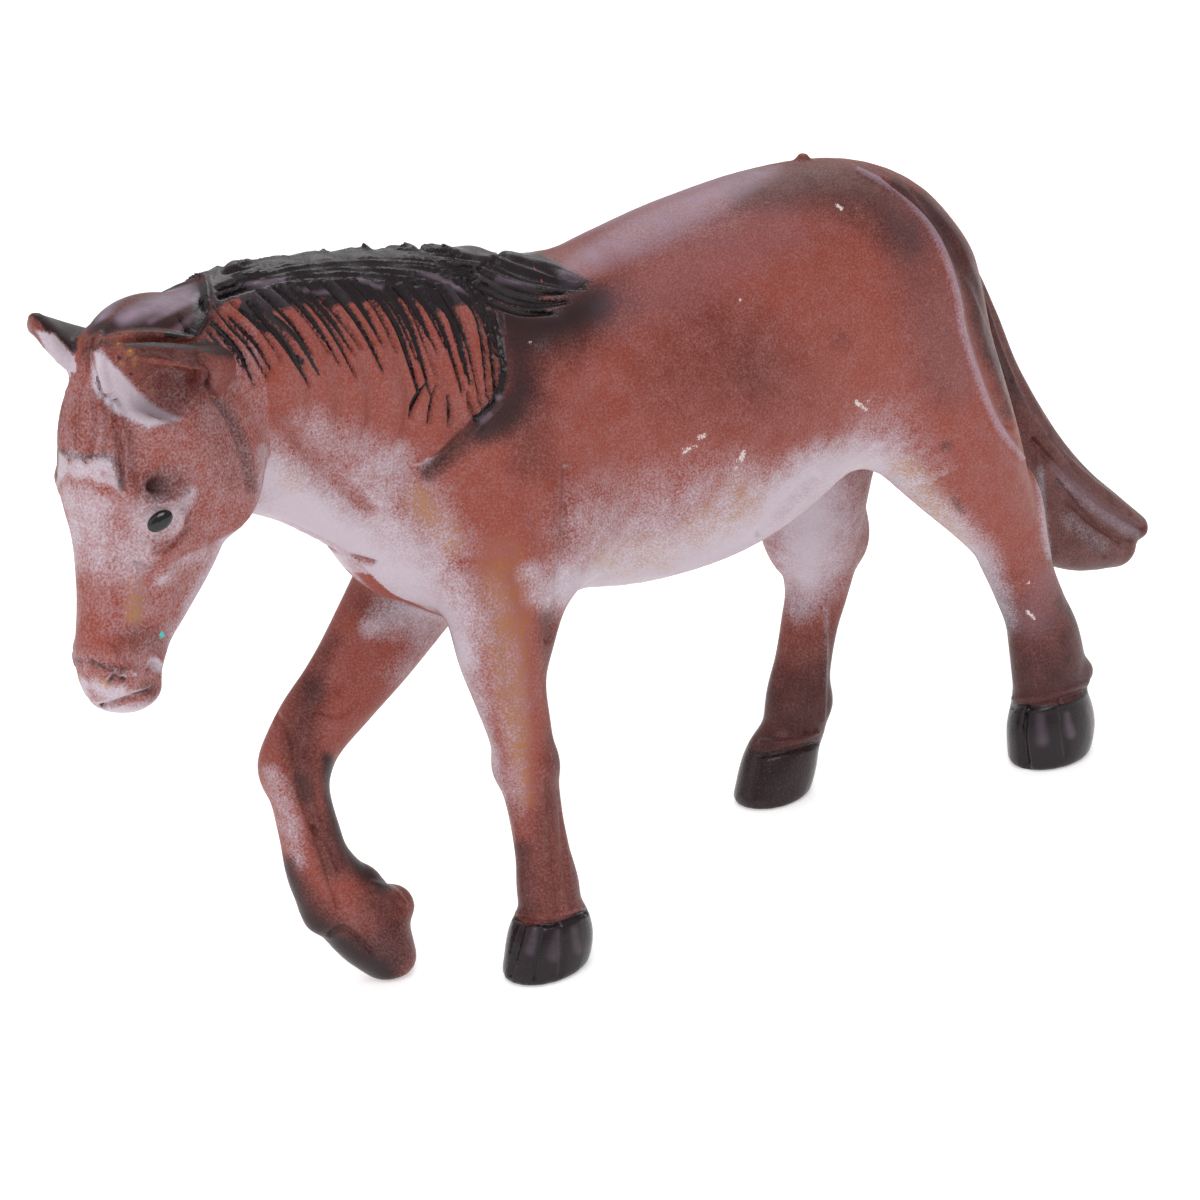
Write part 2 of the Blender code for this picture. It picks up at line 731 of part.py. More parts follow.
def cavity():
    """The hollow inside the barrel, drawn in from the skin by the wall."""
    first, last = CAVITY_SPAN_SHARES
    rows = []
    fine = smoothed([Vector(row) for row in trunk_rows(SHELL_WALL)])
    for row in fine:
        if first * TRUNK_LENGTH <= row[0] <= last * TRUNK_LENGTH:
            rows.append(tuple(row))
    ends = []
    for index, row in enumerate(rows):
        rim = min(index, len(rows) - 1 - index)
        narrowing = math.sin(math.pi / 2 * min(1, (rim + 1) / CAP_STEPS))
        ends.append((*row[:3], row[3] * narrowing, row[4] * narrowing))
    shape = bmesh.new()
    loft(shape, ends, Vector((0, 1, 0)), count=TAIL_RING_SIDES)
    return cutter(new_object("barrel hollow", mesh_from(shape, "barrel hollow"), CUTTERS))


def locating_pins():
    """Pins that cross from the left shell into the right one, and their holes."""
    pins = []
    holes = []
    for index, (place, height) in enumerate(PIN_PLACE_SHARES):
        spot = Vector((place * TRUNK_LENGTH, -FIT_GAP, height * WITHERS_HEIGHT))
        across = Vector((0, 1, 0))
        pin, hole = seam_peg("pin %d" % index, spot, across, PIN_DIAMETER, PIN_LENGTH)
        pins.append(pin)
        holes.append(hole)
    return pins, holes


def ear_opening(hand):
    """The direction that an ear's hollow faces."""
    forward, left = head_axes()
    forward_by, out_by, up_by = EAR_OPENING_SHARES
    return (forward * forward_by - left * (hand * out_by) + Vector((0, 0, up_by))).normalized()


def ear_point(hand, forward_by, out_by, up_by):
    """A point on an ear's middle line."""
    root_forward, root_up = EAR_ROOT_SHARES
    return head_point(
        root_forward * HEAD_DEPTH + forward_by * EAR_LENGTH,
        -hand * (EAR_SPREAD + out_by * EAR_LENGTH),
        root_up * HEAD_LENGTH + up_by * EAR_LENGTH,
    )


def ear(name, shares, hand, envelope):
    """A leaf-shaped ear, scooped on its open face, with a peg at its root."""
    rows = []
    for forward_by, out_by, up_by, half_width, half_thickness in shares:
        centre = ear_point(hand, forward_by, out_by, up_by)
        rows.append((*centre, half_width * EAR_WIDTH, half_thickness * EAR_THICKNESS))
    first = Vector(rows[0][:3])
    last = Vector(rows[-1][:3])
    along = (last - first).normalized()
    across = along.cross(ear_opening(hand)).normalized()
    face = across.cross(along).normalized()
    shape = bmesh.new()
    loft(shape, rows, across, count=THIN_RING_SIDES)
    leaf = cutter(new_object(name + " leaf", mesh_from(shape, name), CUTTERS))
    middle = first.lerp(last, EAR_HOLLOW_PLACE_SHARE) + face * (EAR_THICKNESS / 2)
    scoop = bmesh.new()
    place = Matrix((along, across, face)).transposed().to_4x4()
    place.translation = middle
    radii = (
        EAR_HOLLOW_LENGTH_SHARE * EAR_LENGTH,
        EAR_HOLLOW_WIDTH_SHARE * EAR_WIDTH,
        EAR_HOLLOW_DEPTH_SHARE * EAR_THICKNESS,
    )
    size = Matrix.Diagonal((*radii, 1))
    bmesh.ops.create_uvsphere(
        scoop, u_segments=THIN_RING_SIDES, v_segments=THIN_RING_SIDES, radius=1, matrix=place @ size
    )
    hollow = cutter(new_object(name + " hollow", mesh_from(scoop, name), CUTTERS))
    peg, socket = peg_pair(name, Vector(rows[1][:3]), first, EAR_PEG_DIAMETER)
    steps = (("DIFFERENCE", hollow), ("DIFFERENCE", envelope), ("UNION", peg))
    return piece(name, leaf, DARK_BROWN, steps), socket


def tail_piece(envelope):
    """The tail, cut to lie against the haunches, with a peg at the dock."""
    strands = []
    for name, shares in (("tail upper strand", TAIL_SHARES), ("tail lower lobe", TAIL_LOBE_SHARES)):
        shape = bmesh.new()
        loft(shape, tail_rows(shares), Vector((0, 1, 0)), count=TAIL_RING_SIDES)
        strands.append(cutter(new_object(name, mesh_from(shape, name), CUTTERS)))
    strand, lobe = strands
    rows = tail_rows(TAIL_SHARES)
    inside = Vector(rows[TAIL_PEG_STATION][:3])
    inward = (Vector(rows[0][:3]) - inside).normalized()
    peg, socket = peg_pair("tail", inside, inside + inward * TAIL_PEG_LENGTH, TAIL_PEG_DIAMETER)
    steps = (("UNION", lobe), ("DIFFERENCE", envelope), ("UNION", peg))
    return piece("tail", strand, DARK_BROWN, steps), socket


def build_figure():
    """Sculpt the form, part it, and set the figure over its origin."""
    form = cutter(sculpted_form("whole form", SOFTENING_LOSS, CUTTERS))
    envelope = cutter(sculpted_form("form with a gap", SOFTENING_LOSS + FIT_GAP, CUTTERS))
    half = CUT_REACH / 2
    ground = block("ground", Vector((0, 0, -half)), (half, half, half), Matrix.Identity(4))

    groin = GROIN_SHARE * LEG_SPACING / 2
    rows = [leg_rows(*table) for table in LEG_TABLES]
    legs = {
        "left_fore_leg": leg_parts("left fore", rows[0] + rows[1], FORE_SEAM, 0, LEFT),
        "right_fore_leg": leg_parts("right fore", rows[2] + rows[3], FORE_SEAM, 0, RIGHT),
        "left_hind_leg": leg_parts("left hind", rows[4] + rows[5], LEFT_HIND_SEAM, groin, LEFT),
        "right_hind_leg": leg_parts("right hind", rows[6] + rows[7], RIGHT_HIND_SEAM, groin, RIGHT),
    }
    for name, (inside, _, peg, _) in legs.items():
        piece(name, form, RED_BROWN, (("INTERSECT", inside), ("DIFFERENCE", ground), ("UNION", peg)))

    left_ear, left_socket = ear("left_ear", LEFT_EAR_SHARES, LEFT, envelope)
    right_ear, right_socket = ear("right_ear", RIGHT_EAR_SHARES, RIGHT, envelope)
    _, tail_socket = tail_piece(envelope)

    seam_middle = head_point(HEAD_SEAM_SHARE * HEAD_DEPTH, 0, 0)
    forward, _ = head_axes()
    head_peg, head_socket = seam_peg("head", seam_middle, -forward, HEAD_PEG_DIAMETER, HEAD_PEG_LENGTH)
    head_steps = [("INTERSECT", head_block("head inside", -FIT_GAP / 2))]
    head_steps += [("DIFFERENCE", left_socket), ("DIFFERENCE", right_socket), ("UNION", head_peg)]
    piece("head", form, RED_BROWN, head_steps)

    neck_middle = Vector((NECK_SEAM_PLACE_SHARE * TRUNK_LENGTH, 0, NECK_SEAM_HEIGHT_SHARE * WITHERS_HEIGHT))
    backward = Matrix.Rotation(NECK_SEAM_LEAN, 4, "Y") @ Vector((1, 0, 0))
    neck_peg, neck_socket = seam_peg("neck", neck_middle, backward, NECK_PEG_DIAMETER, NECK_PEG_LENGTH)
    neck_steps = [("INTERSECT", neck_block("neck inside", -FIT_GAP / 2))]
    neck_steps += [("DIFFERENCE", head_block("head outside", FIT_GAP / 2)), ("DIFFERENCE", head_socket)]
    neck_steps += [("DIFFERENCE", legs["left_fore_leg"][1]), ("DIFFERENCE", legs["right_fore_leg"][1])]
    neck_steps += [("UNION", neck_peg)]
    piece("neck", form, RED_BROWN, neck_steps)

    pins, holes = locating_pins()
    hollow = cavity()
    neck_outside = neck_block("neck outside", FIT_GAP / 2)
    for name, hand in (("body_left_shell", LEFT), ("body_right_shell", RIGHT)):
        steps = [("DIFFERENCE", neck_outside)]
        for _, outside, _, socket in legs.values():
            steps += [("DIFFERENCE", outside), ("DIFFERENCE", socket)]
        steps += [("DIFFERENCE", neck_socket), ("DIFFERENCE", tail_socket), ("DIFFERENCE", hollow)]
        steps += [("INTERSECT", half_block(name + " side", hand))]
        if hand == LEFT:
            steps += [("UNION", pin) for pin in pins]
        else:
            steps += [("DIFFERENCE", hole) for hole in holes]
        piece(name, form, RED_BROWN, steps)


def settle():
    """Stand the figure over the middle of its bounding box, under one empty."""
    places = [item.matrix_world @ vertex.co for item in PARTS.objects for vertex in item.data.vertices]
    middle_x = (min(place.x for place in places) + max(place.x for place in places)) / 2
    middle_y = (min(place.y for place in places) + max(place.y for place in places)) / 2
    root = new_object("horse_root", None, CUTTERS)
    for item in list(PARTS.objects):
        item.parent = root
    root.location = (-middle_x, -middle_y, 0)
    bpy.context.view_layer.update()


clear_scene()
PARTS = new_collection("toy_horse")
CUTTERS = new_collection("cutters")
build_figure()
settle()
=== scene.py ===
import itertools
import math

import bpy
import numpy as np
from mathutils import Matrix, Vector
from mathutils.bvhtree import BVHTree


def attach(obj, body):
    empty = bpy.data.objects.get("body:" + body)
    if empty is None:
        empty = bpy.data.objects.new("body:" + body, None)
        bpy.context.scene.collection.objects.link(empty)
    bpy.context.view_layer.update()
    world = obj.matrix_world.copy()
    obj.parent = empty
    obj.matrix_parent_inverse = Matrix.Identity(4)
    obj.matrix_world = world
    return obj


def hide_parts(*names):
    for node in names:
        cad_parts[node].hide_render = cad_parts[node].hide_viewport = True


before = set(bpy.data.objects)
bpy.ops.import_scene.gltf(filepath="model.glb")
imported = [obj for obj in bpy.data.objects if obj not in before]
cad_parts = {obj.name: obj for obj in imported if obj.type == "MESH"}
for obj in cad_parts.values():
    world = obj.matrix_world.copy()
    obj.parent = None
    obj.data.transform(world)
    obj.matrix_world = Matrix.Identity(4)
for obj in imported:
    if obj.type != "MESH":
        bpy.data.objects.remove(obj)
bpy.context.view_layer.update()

# The figure is sculpted in millimetres, with the ground under the withers as its origin. The horse
# faces -X and its left side is -Y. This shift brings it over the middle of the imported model's box.
MM = 0.001
SHIFT = np.array((-12.21, 3.4, 0.0))
# The block of clay: its corners, its grain, the distance that it holds where there is no clay near, and
# a length and an area too small to matter
BLOCK_LOW = (-74, -30, -2)
BLOCK_HIGH = (96, 20, 92)
GRAIN = 0.5
FAR_OFF = 99
TINY = 1e-6
TINY_AREA = 1e-12
ACROSS = np.array((0.0, 1.0, 0.0))
UP = np.array((0.0, 0.0, 1.0))
FORWARD = np.array((1.0, 0.0, 0.0))
LEFT = -1
RIGHT = 1

# The head is turned to the left about the poll.
HEAD_TURN = math.radians(20)
AHEAD = np.array((-math.cos(HEAD_TURN), -math.sin(HEAD_TURN), 0.0))
ASIDE = np.array((math.sin(HEAD_TURN), -math.cos(HEAD_TURN), 0.0))
POLL = np.array((-46.2, -8.5, 76.0))

# The camera stands where the photograph was taken from. Streaks of paint and relief are drawn as that
# camera sees them, in a picture this many points wide and high.
CAMERA_PLACE = np.array((-166.7, -239.1, 143.2))
CAMERA_LOOK = (0.545, 0.766, -0.342)
CAMERA_ROLL = math.radians(-5)
LENS = 84
SENSOR = 36
CLIP_START = 0.01
PICTURE = 1200
FOCAL = PICTURE * LENS / SENSOR

# Each station of a run of clay: x, y, z, half width, half depth
TRUNK = (
    (-22, 0, 51, 6, 8), (-17, 0, 54, 9.5, 15), (-10, 0, 56.4, 11, 18), (0, 0, 57.6, 12, 18.5),
    (10, 0, 57.5, 13.3, 20.2), (20, 0, 58.4, 14, 20.8), (30, 0, 60.9, 13.8, 19.3), (40, 0, 63.1, 13, 16.5),
    (46.4, 0, 63.4, 11, 12.8), (49.6, 0, 62.5, 7, 8.2),
)
# Lumps on each side of the trunk: centre and radii
HAUNCH = ((40, 5.2, 60.3), (12.8, 9.2, 14.2))
SHOULDER = ((-9, 6.2, 56), (7.5, 5.6, 13))
SHOULDER_AXES = (np.array((0.93, 0, 0.37)), ACROSS, np.array((-0.37, 0, 0.93)))
NECK = (
    (-2, 0, 59, 10, 14.6), (-12, -0.5, 61.8, 9.5, 16.7), (-22, -2.2, 65.6, 8, 15.9),
    (-32, -4.6, 69.8, 6.8, 13.6), (-40, -6.8, 72.3, 6.2, 11.9), (-46, -8.5, 73.4, 6, 9.6),
)
NECK_LINE = np.array(NECK[::-1])
# The crest's ridge lies on the neck's top: how deep it sits, half width and half depth
CREST_RIDGE = (0.3, 2.5, 1.2)
# The mane is a row of locks on each side, spread over a span of the neck's length. Each station of a
# lock has its share of that length ahead of the lock's own place, its angle down from the crest, half
# width and half depth.
MANE_LOCKS = 10
MANE_START = 0.02
MANE_SPAN = 0.9
MANE_SUNK = 0.7
MANE_LOCK = (
    (0.14, 6, 1.5, 0.95), (0.09, 30, 1.8, 1.25), (0.01, 58, 1.9, 1.3), (-0.06, 82, 1.6, 1.15),
    (-0.09, 98, 1, 0.7),
)
LEFT_FORE = (
    (-9, -6.5, 52, 6, 8.5), (-13.5, -7.6, 45.5, 5.4, 7.4), (-15.2, -8.3, 39.5, 4.4, 5.8),
    (-15.3, -8.3, 34.5, 3.6, 4.3), (-14.5, -8.3, 29, 3.3, 3.5), (-14, -8.3, 24.5, 3.2, 3.3),
    (-13.5, -8.3, 19, 2.7, 3), (-13.1, -8.3, 14, 2.7, 3.1), (-12.8, -8.3, 9.5, 3.1, 3.6),
    (-12.8, -8.3, 7, 3, 3.3),
)
RIGHT_FORE = (
    (-8, 6.5, 52, 6.5, 8.5), (-14, 7, 45, 5.6, 7), (-21.6, 7, 37.6, 4.4, 5.7),
    (-26.8, 6.5, 33.6, 3.6, 4.9), (-31.6, 6, 30.3, 3.4, 4.4), (-34.3, 5.5, 27.2, 3.3, 4),
    (-34.5, 5, 23.8, 2.9, 3.3), (-34.2, 4.6, 19.4, 2.8, 3.4), (-33.7, 4.3, 15.2, 3, 3.8),
    (-31.9, 4, 10.8, 3.2, 4.6),
)
LEFT_HIND = (
    (43, -5.5, 62, 8, 12), (46.5, -7.2, 52, 7.5, 10.6), (50.8, -8, 44, 6.5, 8.4),
    (55.3, -8.3, 36.4, 4.8, 6), (58, -8.3, 32, 3.9, 5), (59.6, -8.3, 28.4, 3.5, 4.8),
    (60.9, -8.3, 24.5, 3.3, 4.3), (62.7, -8.3, 20.1, 3.3, 4.3), (64, -8.3, 16.1, 3.7, 4.9),
    (64.7, -8.3, 11.7, 3.9, 5.1), (64.7, -8.3, 8.8, 3.8, 4.9),
)
RIGHT_HIND = (
    (43, 5.5, 62, 8, 12), (43.5, 7, 52, 7.5, 11), (42.4, 8, 42, 6.5, 8.6), (41.8, 8.3, 33.5, 5.2, 7),
    (42.7, 8.3, 29.4, 3.8, 5.7), (42, 8.3, 24.8, 3.1, 4.5), (40.6, 8.3, 21, 2.9, 4),
    (39.2, 8.3, 16.5, 2.9, 3.9), (37.9, 8.3, 12.2, 3.2, 4.3), (37, 8.3, 8, 3.3, 4.2),
)
HOOVES = (
    ((-12.7, -8.3, 6.6, 3.2, 3.7), (-13.1, -8.3, 3.8, 4, 5.1), (-14.5, -8.3, 0, 4, 4.8)),
    ((-31, 4, 10.3, 3.3, 4.6), (-28.6, 3.7, 6, 3.3, 4.4), (-26.8, 3.3, 2, 2.7, 3)),
    ((64.6, -8.3, 8.2, 4, 4.9), (64.8, -8.3, 4.2, 4.8, 6.1), (64, -8.3, 0, 4.4, 5.3)),
    ((36.4, 8.3, 7.2, 3.5, 3.9), (34.3, 8.3, 4, 4.1, 5), (32.4, 8.3, 0, 4.1, 4.8)),
)
HOOF_TOPS = (6.9, 7.5, 8.6, 7.2)
TAIL = (
    (45, 0, 75, 2, 1.8), (48.6, 0, 73.3, 2.6, 2.2), (52.1, 0, 69.7, 3, 2.5), (57.9, 0, 63.2, 3.4, 2.8),
    (61.4, 0, 56, 3.7, 3.1), (64.8, 0, 47.8, 3.9, 3.3), (70.8, 0, 37.9, 4, 3.5), (76.9, 0, 30.8, 3.9, 3.4),
    (83.4, 0, 25.6, 3.4, 2.9), (88.8, 0, 22.2, 2.4, 1.9),
)
TAIL_LOBE = (
    (61, 0, 46, 3.2, 3), (66, 0, 36.5, 3.6, 4.2), (71.6, 0, 28.6, 3.7, 5), (78.4, 0, 23.6, 3.5, 4.4),
    (85.6, 0, 20.6, 2.8, 3),
)
# Lumps of clay on the legs: centre and radii
LEG_LUMPS = (
    ((-14.2, -8.3, 24.6), (3.3, 3.3, 2.6)), ((-34.6, 5.2, 27.2), (3.4, 3.3, 3.2)),
    ((-25.8, 4, 7.6), (2.8, 2.7, 2.6)), ((-31.5, 4.1, 10.6), (4.2, 3.4, 3)),
    ((68.6, -8.3, 10.6), (2.4, 3, 1.6)), ((39.8, 8.3, 10.8), (2.4, 2.9, 2.6)),
    ((47.6, 8.3, 31), (2.6, 2.6, 4.4)), ((61.6, -8.3, 33.4), (1.6, 2.2, 5.5)),
)
# Small lumps left by the mould: x, y, z, radius
NUBS = (
    (-44, -7, 84.1, 0.8), (36.7, 0, 80, 0.8), (45.4, 0, 76.9, 0.6), (47.1, 0, 76.4, 0.6),
    (48.7, 0, 75.8, 0.6),
)

# Stations in the head's own directions: ahead, left, up, half width, half depth
HEAD = (
    (6.5, 0, 3.4, 5.4, 6.4), (8.6, 0, -2, 6.7, 8.8), (9.1, 0, -7, 6.9, 9.7), (10.1, 0, -11.5, 6.1, 8.7),
    (12.8, 0, -16.5, 4.7, 6.7), (15.1, 0, -20, 3.9, 5.2), (16.8, 0, -23.3, 3.5, 4.6),
    (17.7, 0, -25.4, 3.2, 2.6),
)
NOSE_BRIDGE = ((13, 0, -2, 4, 3), (14, 0, -8, 3.6, 3), (15.6, 0, -14, 2.7, 2.4), (17.2, 0, -19.5, 2.3, 2))
FORELOCK = ((-4, 0, 4, 3.4, 3), (2, 0, 5.4, 4, 2.4), (8, 0, 6, 3.8, 2), (12, 0, 5.2, 3.2, 2))
# Lumps and hollows on each side of the head, as ahead, aside, up, then radii. The lumps of the far side
# stand a little further back.
HEAD_LUMPS = (
    ((4.4, 4.4, -7.6), (5.6, 2.8, 6.8)), ((15.3, 4.7, -6.4), (1.9, 1.4, 1.2)),
    ((13.8, 5.1, -9.6), (2, 1.9, 1.9)), ((19, 2.4, -23), (1.6, 1.2, 1.9)),
    ((16.2, 1.6, -26.4), (2.2, 1.6, 1.5)), ((12.6, 5, -13.6), (3, 1.2, 2.6)),
)
HEAD_HOLLOWS = (
    ((14.2, 7.4, -5.4), (1.8, 1.6, 1.5)), ((20.4, 3.5, -23.4), (0.8, 0.8, 0.7)),
    ((12, 8.2, -16.5), (4, 3.4, 4)),
)
HEAD_AXES = (AHEAD, ASIDE, UP)
FAR_LUMP_SHIFT = 1.0
NEAR_EAR = (
    (5.5, 5, 1.6, 3.4, 2.4), (10, 5.8, 2.6, 4.3, 2.3), (15, 5.6, 4.8, 3.6, 1.7), (18.8, 5.1, 7, 0.9, 0.7),
)
FAR_EAR = (
    (5.5, -5, 1.6, 3.4, 2.4), (9.6, -5.7, 3.4, 4.3, 2.3), (13.2, -5.6, 5.8, 3.7, 1.7),
    (15.7, -5, 8.6, 0.9, 0.7),
)
# An ear opens ahead, outward and down by these shares. Its hollow stands off, narrower and shallower.
EAR_OPENING = (0.62, 0.5, -0.6)
EAR_HOLLOW = (1.9, 0.9, 0.2)
EAR_LEAST = 0.2

# How widely each form melts into the clay before it
MELT = {
    "trunk": 0.01, "haunch": 4, "shoulder": 4, "neck": 5, "ridge": 1.5, "lock": 1.8, "leg": 3.5, "knee": 1.6,
    "hoof": 0.6, "head": 2.5, "bridge": 1.5, "face": 1.4, "hollow": 1.2, "forelock": 2, "nub": 0.5, "tail": 1,
    "lobe": 0.7, "ear": 0.8, "scoop": 0.3, "ground": 1,
}

# Where the form is parted: the head by a distance ahead of the poll, and the neck and the legs by x and z
# of a point on the seam and of the direction across it. The legs also have limits along and across the
# trunk, the tail starts at an x, and the ears by a distance ahead of the poll and a height.
HEAD_SEAM = -1.5
NECK_SEAM = (-10.6, 63, -0.883, 0.469)
FORE_SEAM = (-13.9, 43.5, 0.375, 0.927)
FORE_SPAN = (-45, 12)
LEFT_HIND_SEAM = (48.9, 46, -0.515, 0.857)
RIGHT_HIND_SEAM = (42, 44, -0.438, 0.899)
HIND_START = 20
HIND_SIDE = 1.7
TAIL_START = 43
EAR_START = 3
EAR_HEIGHT = 70

# How the skin is smoothed: the strengths of a pass over it, the passes before and after it is refined,
# the strength on the walls inside it, and the passes that carry the relief into those walls
SMOOTHING = (0.55, -0.57)
COARSE_PASSES = 12
FINE_PASSES = 2
WALL_SMOOTHING = 0.5
WALL_PASSES = 8


def tapered(line, width):
    """The rows of a streak along a line, a point narrower at both ends."""
    return [(*line[0], width - 1), *[(x, y, width) for x, y in line[1:-1]], (*line[-1], width - 1)]


# The relief is drawn as streaks in the picture. The mane's grooves run between these guide lines, each
# with the same number of points.
MANE_GUIDES = (
    ((203, 322), (214, 340), (228, 362), (240, 394)), ((222, 300), (246, 322), (268, 346), (290, 386)),
    ((262, 276), (292, 298), (318, 328), (345, 380)), ((300, 262), (334, 290), (362, 326), (386, 376)),
    ((345, 256), (376, 284), (402, 320), (424, 394)), ((384, 254), (416, 284), (442, 322), (466, 408)),
    ((424, 254), (454, 284), (478, 318), (489, 410)), ((452, 260), (482, 288), (502, 322), (508, 372)),
)
WITHERS_GUIDES = (
    ((448, 272), (478, 294), (510, 310), (552, 314), (582, 302)),
    ((470, 262), (502, 276), (532, 286), (560, 288), (584, 290)),
    ((500, 254), (524, 262), (546, 270), (566, 276), (588, 284)),
)
CREST_GUIDES = (
    ((212, 270), (268, 250), (340, 240), (420, 240), (490, 252)),
    ((214, 284), (276, 262), (350, 252), (430, 256), (498, 268)),
    ((212, 300), (270, 280), (340, 272), (420, 280), (470, 296)),
)
# Guide lines, how many grooves run between them, and the seed of their chance
COMBS = ((MANE_GUIDES, 34, 3), (WITHERS_GUIDES, 8, 5), (CREST_GUIDES, 16, 7))
GROOVE_STRAY = 0.4
GROOVE_STARTS = (0, 0.25)
GROOVE_ENDS = (0.72, 1.06)
GROOVE_WIDTHS = (4, 7.5)
GROOVE_SWAYS = (-4, 4)
# Shares of the widest half width and of the sway, from a groove's start to its end
GROOVE_FORM = ((0.6, 0), (1, 1), (0.9, 0.6), (0.35, 0))
# More cuts in and round the mane: x, y and half width of each row
MANE_CUTS = (
    ((425, 385, 2), (414, 402, 4), (410, 416, 2)), ((437, 385, 2), (432, 405, 4), (428, 424, 2)),
    ((448, 395, 2), (450, 410, 4), (449, 424, 2)), ((468, 392, 2), (471, 408, 4), (476, 420, 2)),
    ((202, 300, 2), (206, 318, 4), (222, 330, 2)), ((196, 345, 2), (188, 330, 3), (180, 318, 2)),
)
# Hollows of the near side: depth in millimetres, then x, y and half width of each row
DENTS = (
    (0.5, (760, 534, 6), (790, 501, 9), (815, 478, 8)), (0.55, (500, 400, 6), (466, 435, 9), (428, 474, 7)),
    (0.5, (566, 470, 6), (566, 530, 10), (560, 590, 9), (548, 640, 6)), (1, (156, 486, 12)),
    (0.4, (150, 554, 2), (171, 547, 4), (191, 526, 2)), (0.35, (154, 546, 2), (176, 536, 4), (192, 512, 2)),
    (0.35, (135, 562, 2), (150, 568, 4), (160, 562, 2)),
    (0.4, (280, 420, 8), (325, 465, 14), (368, 508, 8)),
    (0.45, (342, 556, 3), (356, 558, 4), (375, 562, 2)), (0.3, (546, 780, 3), (552, 850, 4), (557, 908, 3)),
    (0.3, (560, 800, 3), (564, 850, 4), (570, 905, 3)),
    (0.6, (884, 180, 4), (912, 200, 6), (940, 228, 7), (960, 262, 8), (970, 300, 8), (977, 335, 8),
        (992, 380, 8), (1010, 425, 7)),
    (0.3, (912, 190, 3), (955, 240, 4), (984, 310, 4), (1012, 380, 3)),
    (0.35, (985, 285, 3), (1008, 352, 5), (1040, 418, 5), (1085, 466, 5), (1138, 508, 3)),
    (0.5, (1032, 440, 4), (1060, 470, 6), (1100, 502, 6), (1142, 528, 5)),
    (0.3, (1056, 480, 3), (1082, 512, 4), (1118, 542, 3)),
    (0.3, (1062, 510, 3), (1080, 536, 4), (1104, 556, 3)),
    (0.3, (1050, 436, 3), (1085, 478, 4), (1130, 514, 3)),
    (0.25, (1066, 500, 3), (1096, 526, 4), (1130, 540, 3)),
    (0.7, (1027, 708, 3), (1023, 735, 5), (1026, 768, 7)),
    (0.45, (1008, 708, 4), (1045, 705, 5), (1088, 690, 4)),
    (0.45, (516, 918, 4), (550, 924, 5), (586, 912, 4)),
    (0.3, (1060, 700, 2), (1064, 728, 4), (1066, 755, 2)),
    (0.3, (540, 930, 3), (536, 955, 4), (534, 978, 3)), (0.3, (524, 925, 2), (517, 950, 4), (510, 975, 3)),
    (0.25, (560, 925, 2), (562, 950, 4), (560, 975, 3)),
    (0.5, (80, 700, 3), (92, 708, 4), (112, 704, 4), (150, 690, 3)),
    (0.4, (147, 672, 2), (155, 662, 4), (160, 674, 2)), (1, (110, 682, 3), (117, 677, 5), (124, 680, 3)),
    (0.3, (92, 660, 2), (102, 668, 4), (116, 672, 2)), (0.3, (110, 642, 2), (118, 650, 3), (126, 662, 2)),
    (0.4, (203, 385, 4), (228, 415, 6), (243, 452, 6), (249, 490, 4)), (0.6, (600, 392, 40)),
    (0.35, (700, 320, 60)), (0.4, (410, 465, 26)), (0.3, (118, 440, 6), (126, 470, 8)),
    (0.5, (112, 405, 3), (119, 440, 5), (123, 486, 3)), (0.45, (94, 390, 3), (97, 425, 4), (92, 456, 3)),
    (0.4, (80, 380, 3), (80, 415, 4), (74, 452, 3)), (0.35, (104, 400, 2), (108, 430, 3), (104, 456, 2)),
    (0.35, (66, 400, 2), (64, 430, 3), (60, 452, 2)), (0.4, (130, 430, 3), (134, 470, 4), (140, 500, 3)),
    (0.5, (198, 352, 4), (206, 375, 6), (204, 400, 4)), (0.3, (150, 352, 3), (170, 366, 4), (192, 372, 3)),
    (0.8, (132, 362, 8), (156, 366, 16), (184, 374, 14)),
    (0.25, (170, 352, 2), (184, 360, 4), (198, 362, 2)),
    (0.4, (468, 560, 12), (500, 620, 14), (512, 700, 10)),
)
# The raised line on the haunch beside the tail
HAUNCH_LINE = (
    (857, 170), (882, 183), (907, 200), (937, 240), (955, 290), (962, 330), (980, 385), (997, 425),
    (1022, 458),
)
# Swellings of the near side: height in millimetres, then x, y and half width of each row
SWELLS = (
    (0.4, *tapered(HAUNCH_LINE, 5)), (0.2, (1036, 455, 4), (1041, 490, 5), (1044, 530, 5), (1049, 556, 3)),
    (0.45, (488, 398, 4), (455, 428, 8), (420, 462, 6)), (0.4, (134, 566, 6), (131, 610, 9), (128, 656, 6)),
    (0.6, (138, 512, 4), (150, 503, 6), (168, 503, 6), (186, 492, 4)),
    (0.4, (142, 538, 3), (158, 542, 5), (176, 530, 5), (182, 512, 3)),
    (0.5, (203, 272, 5), (207, 295, 6), (203, 318, 6), (192, 336, 6)),
    (0.7, (190, 340, 7), (160, 336, 8), (124, 338, 9), (103, 346, 7), (103, 372, 5), (112, 398, 4)),
    (0.5, (120, 676, 5), (126, 664, 5), (134, 672, 4)), (0.3, (152, 655, 4), (160, 662, 4)),
    (0.3, (850, 300, 130)), (0.5, (490, 520, 60)), (0.35, (500, 470, 12), (530, 560, 16), (532, 620, 12)),
    (0.3, (330, 440, 24), (380, 490, 28), (420, 540, 20)), (0.35, (290, 470, 14), (340, 520, 18)),
    (0.12, (516, 912, 4), (548, 916, 5), (584, 906, 4)),
    (0.2, (1008, 698, 4), (1045, 696, 5), (1090, 682, 4)),
)
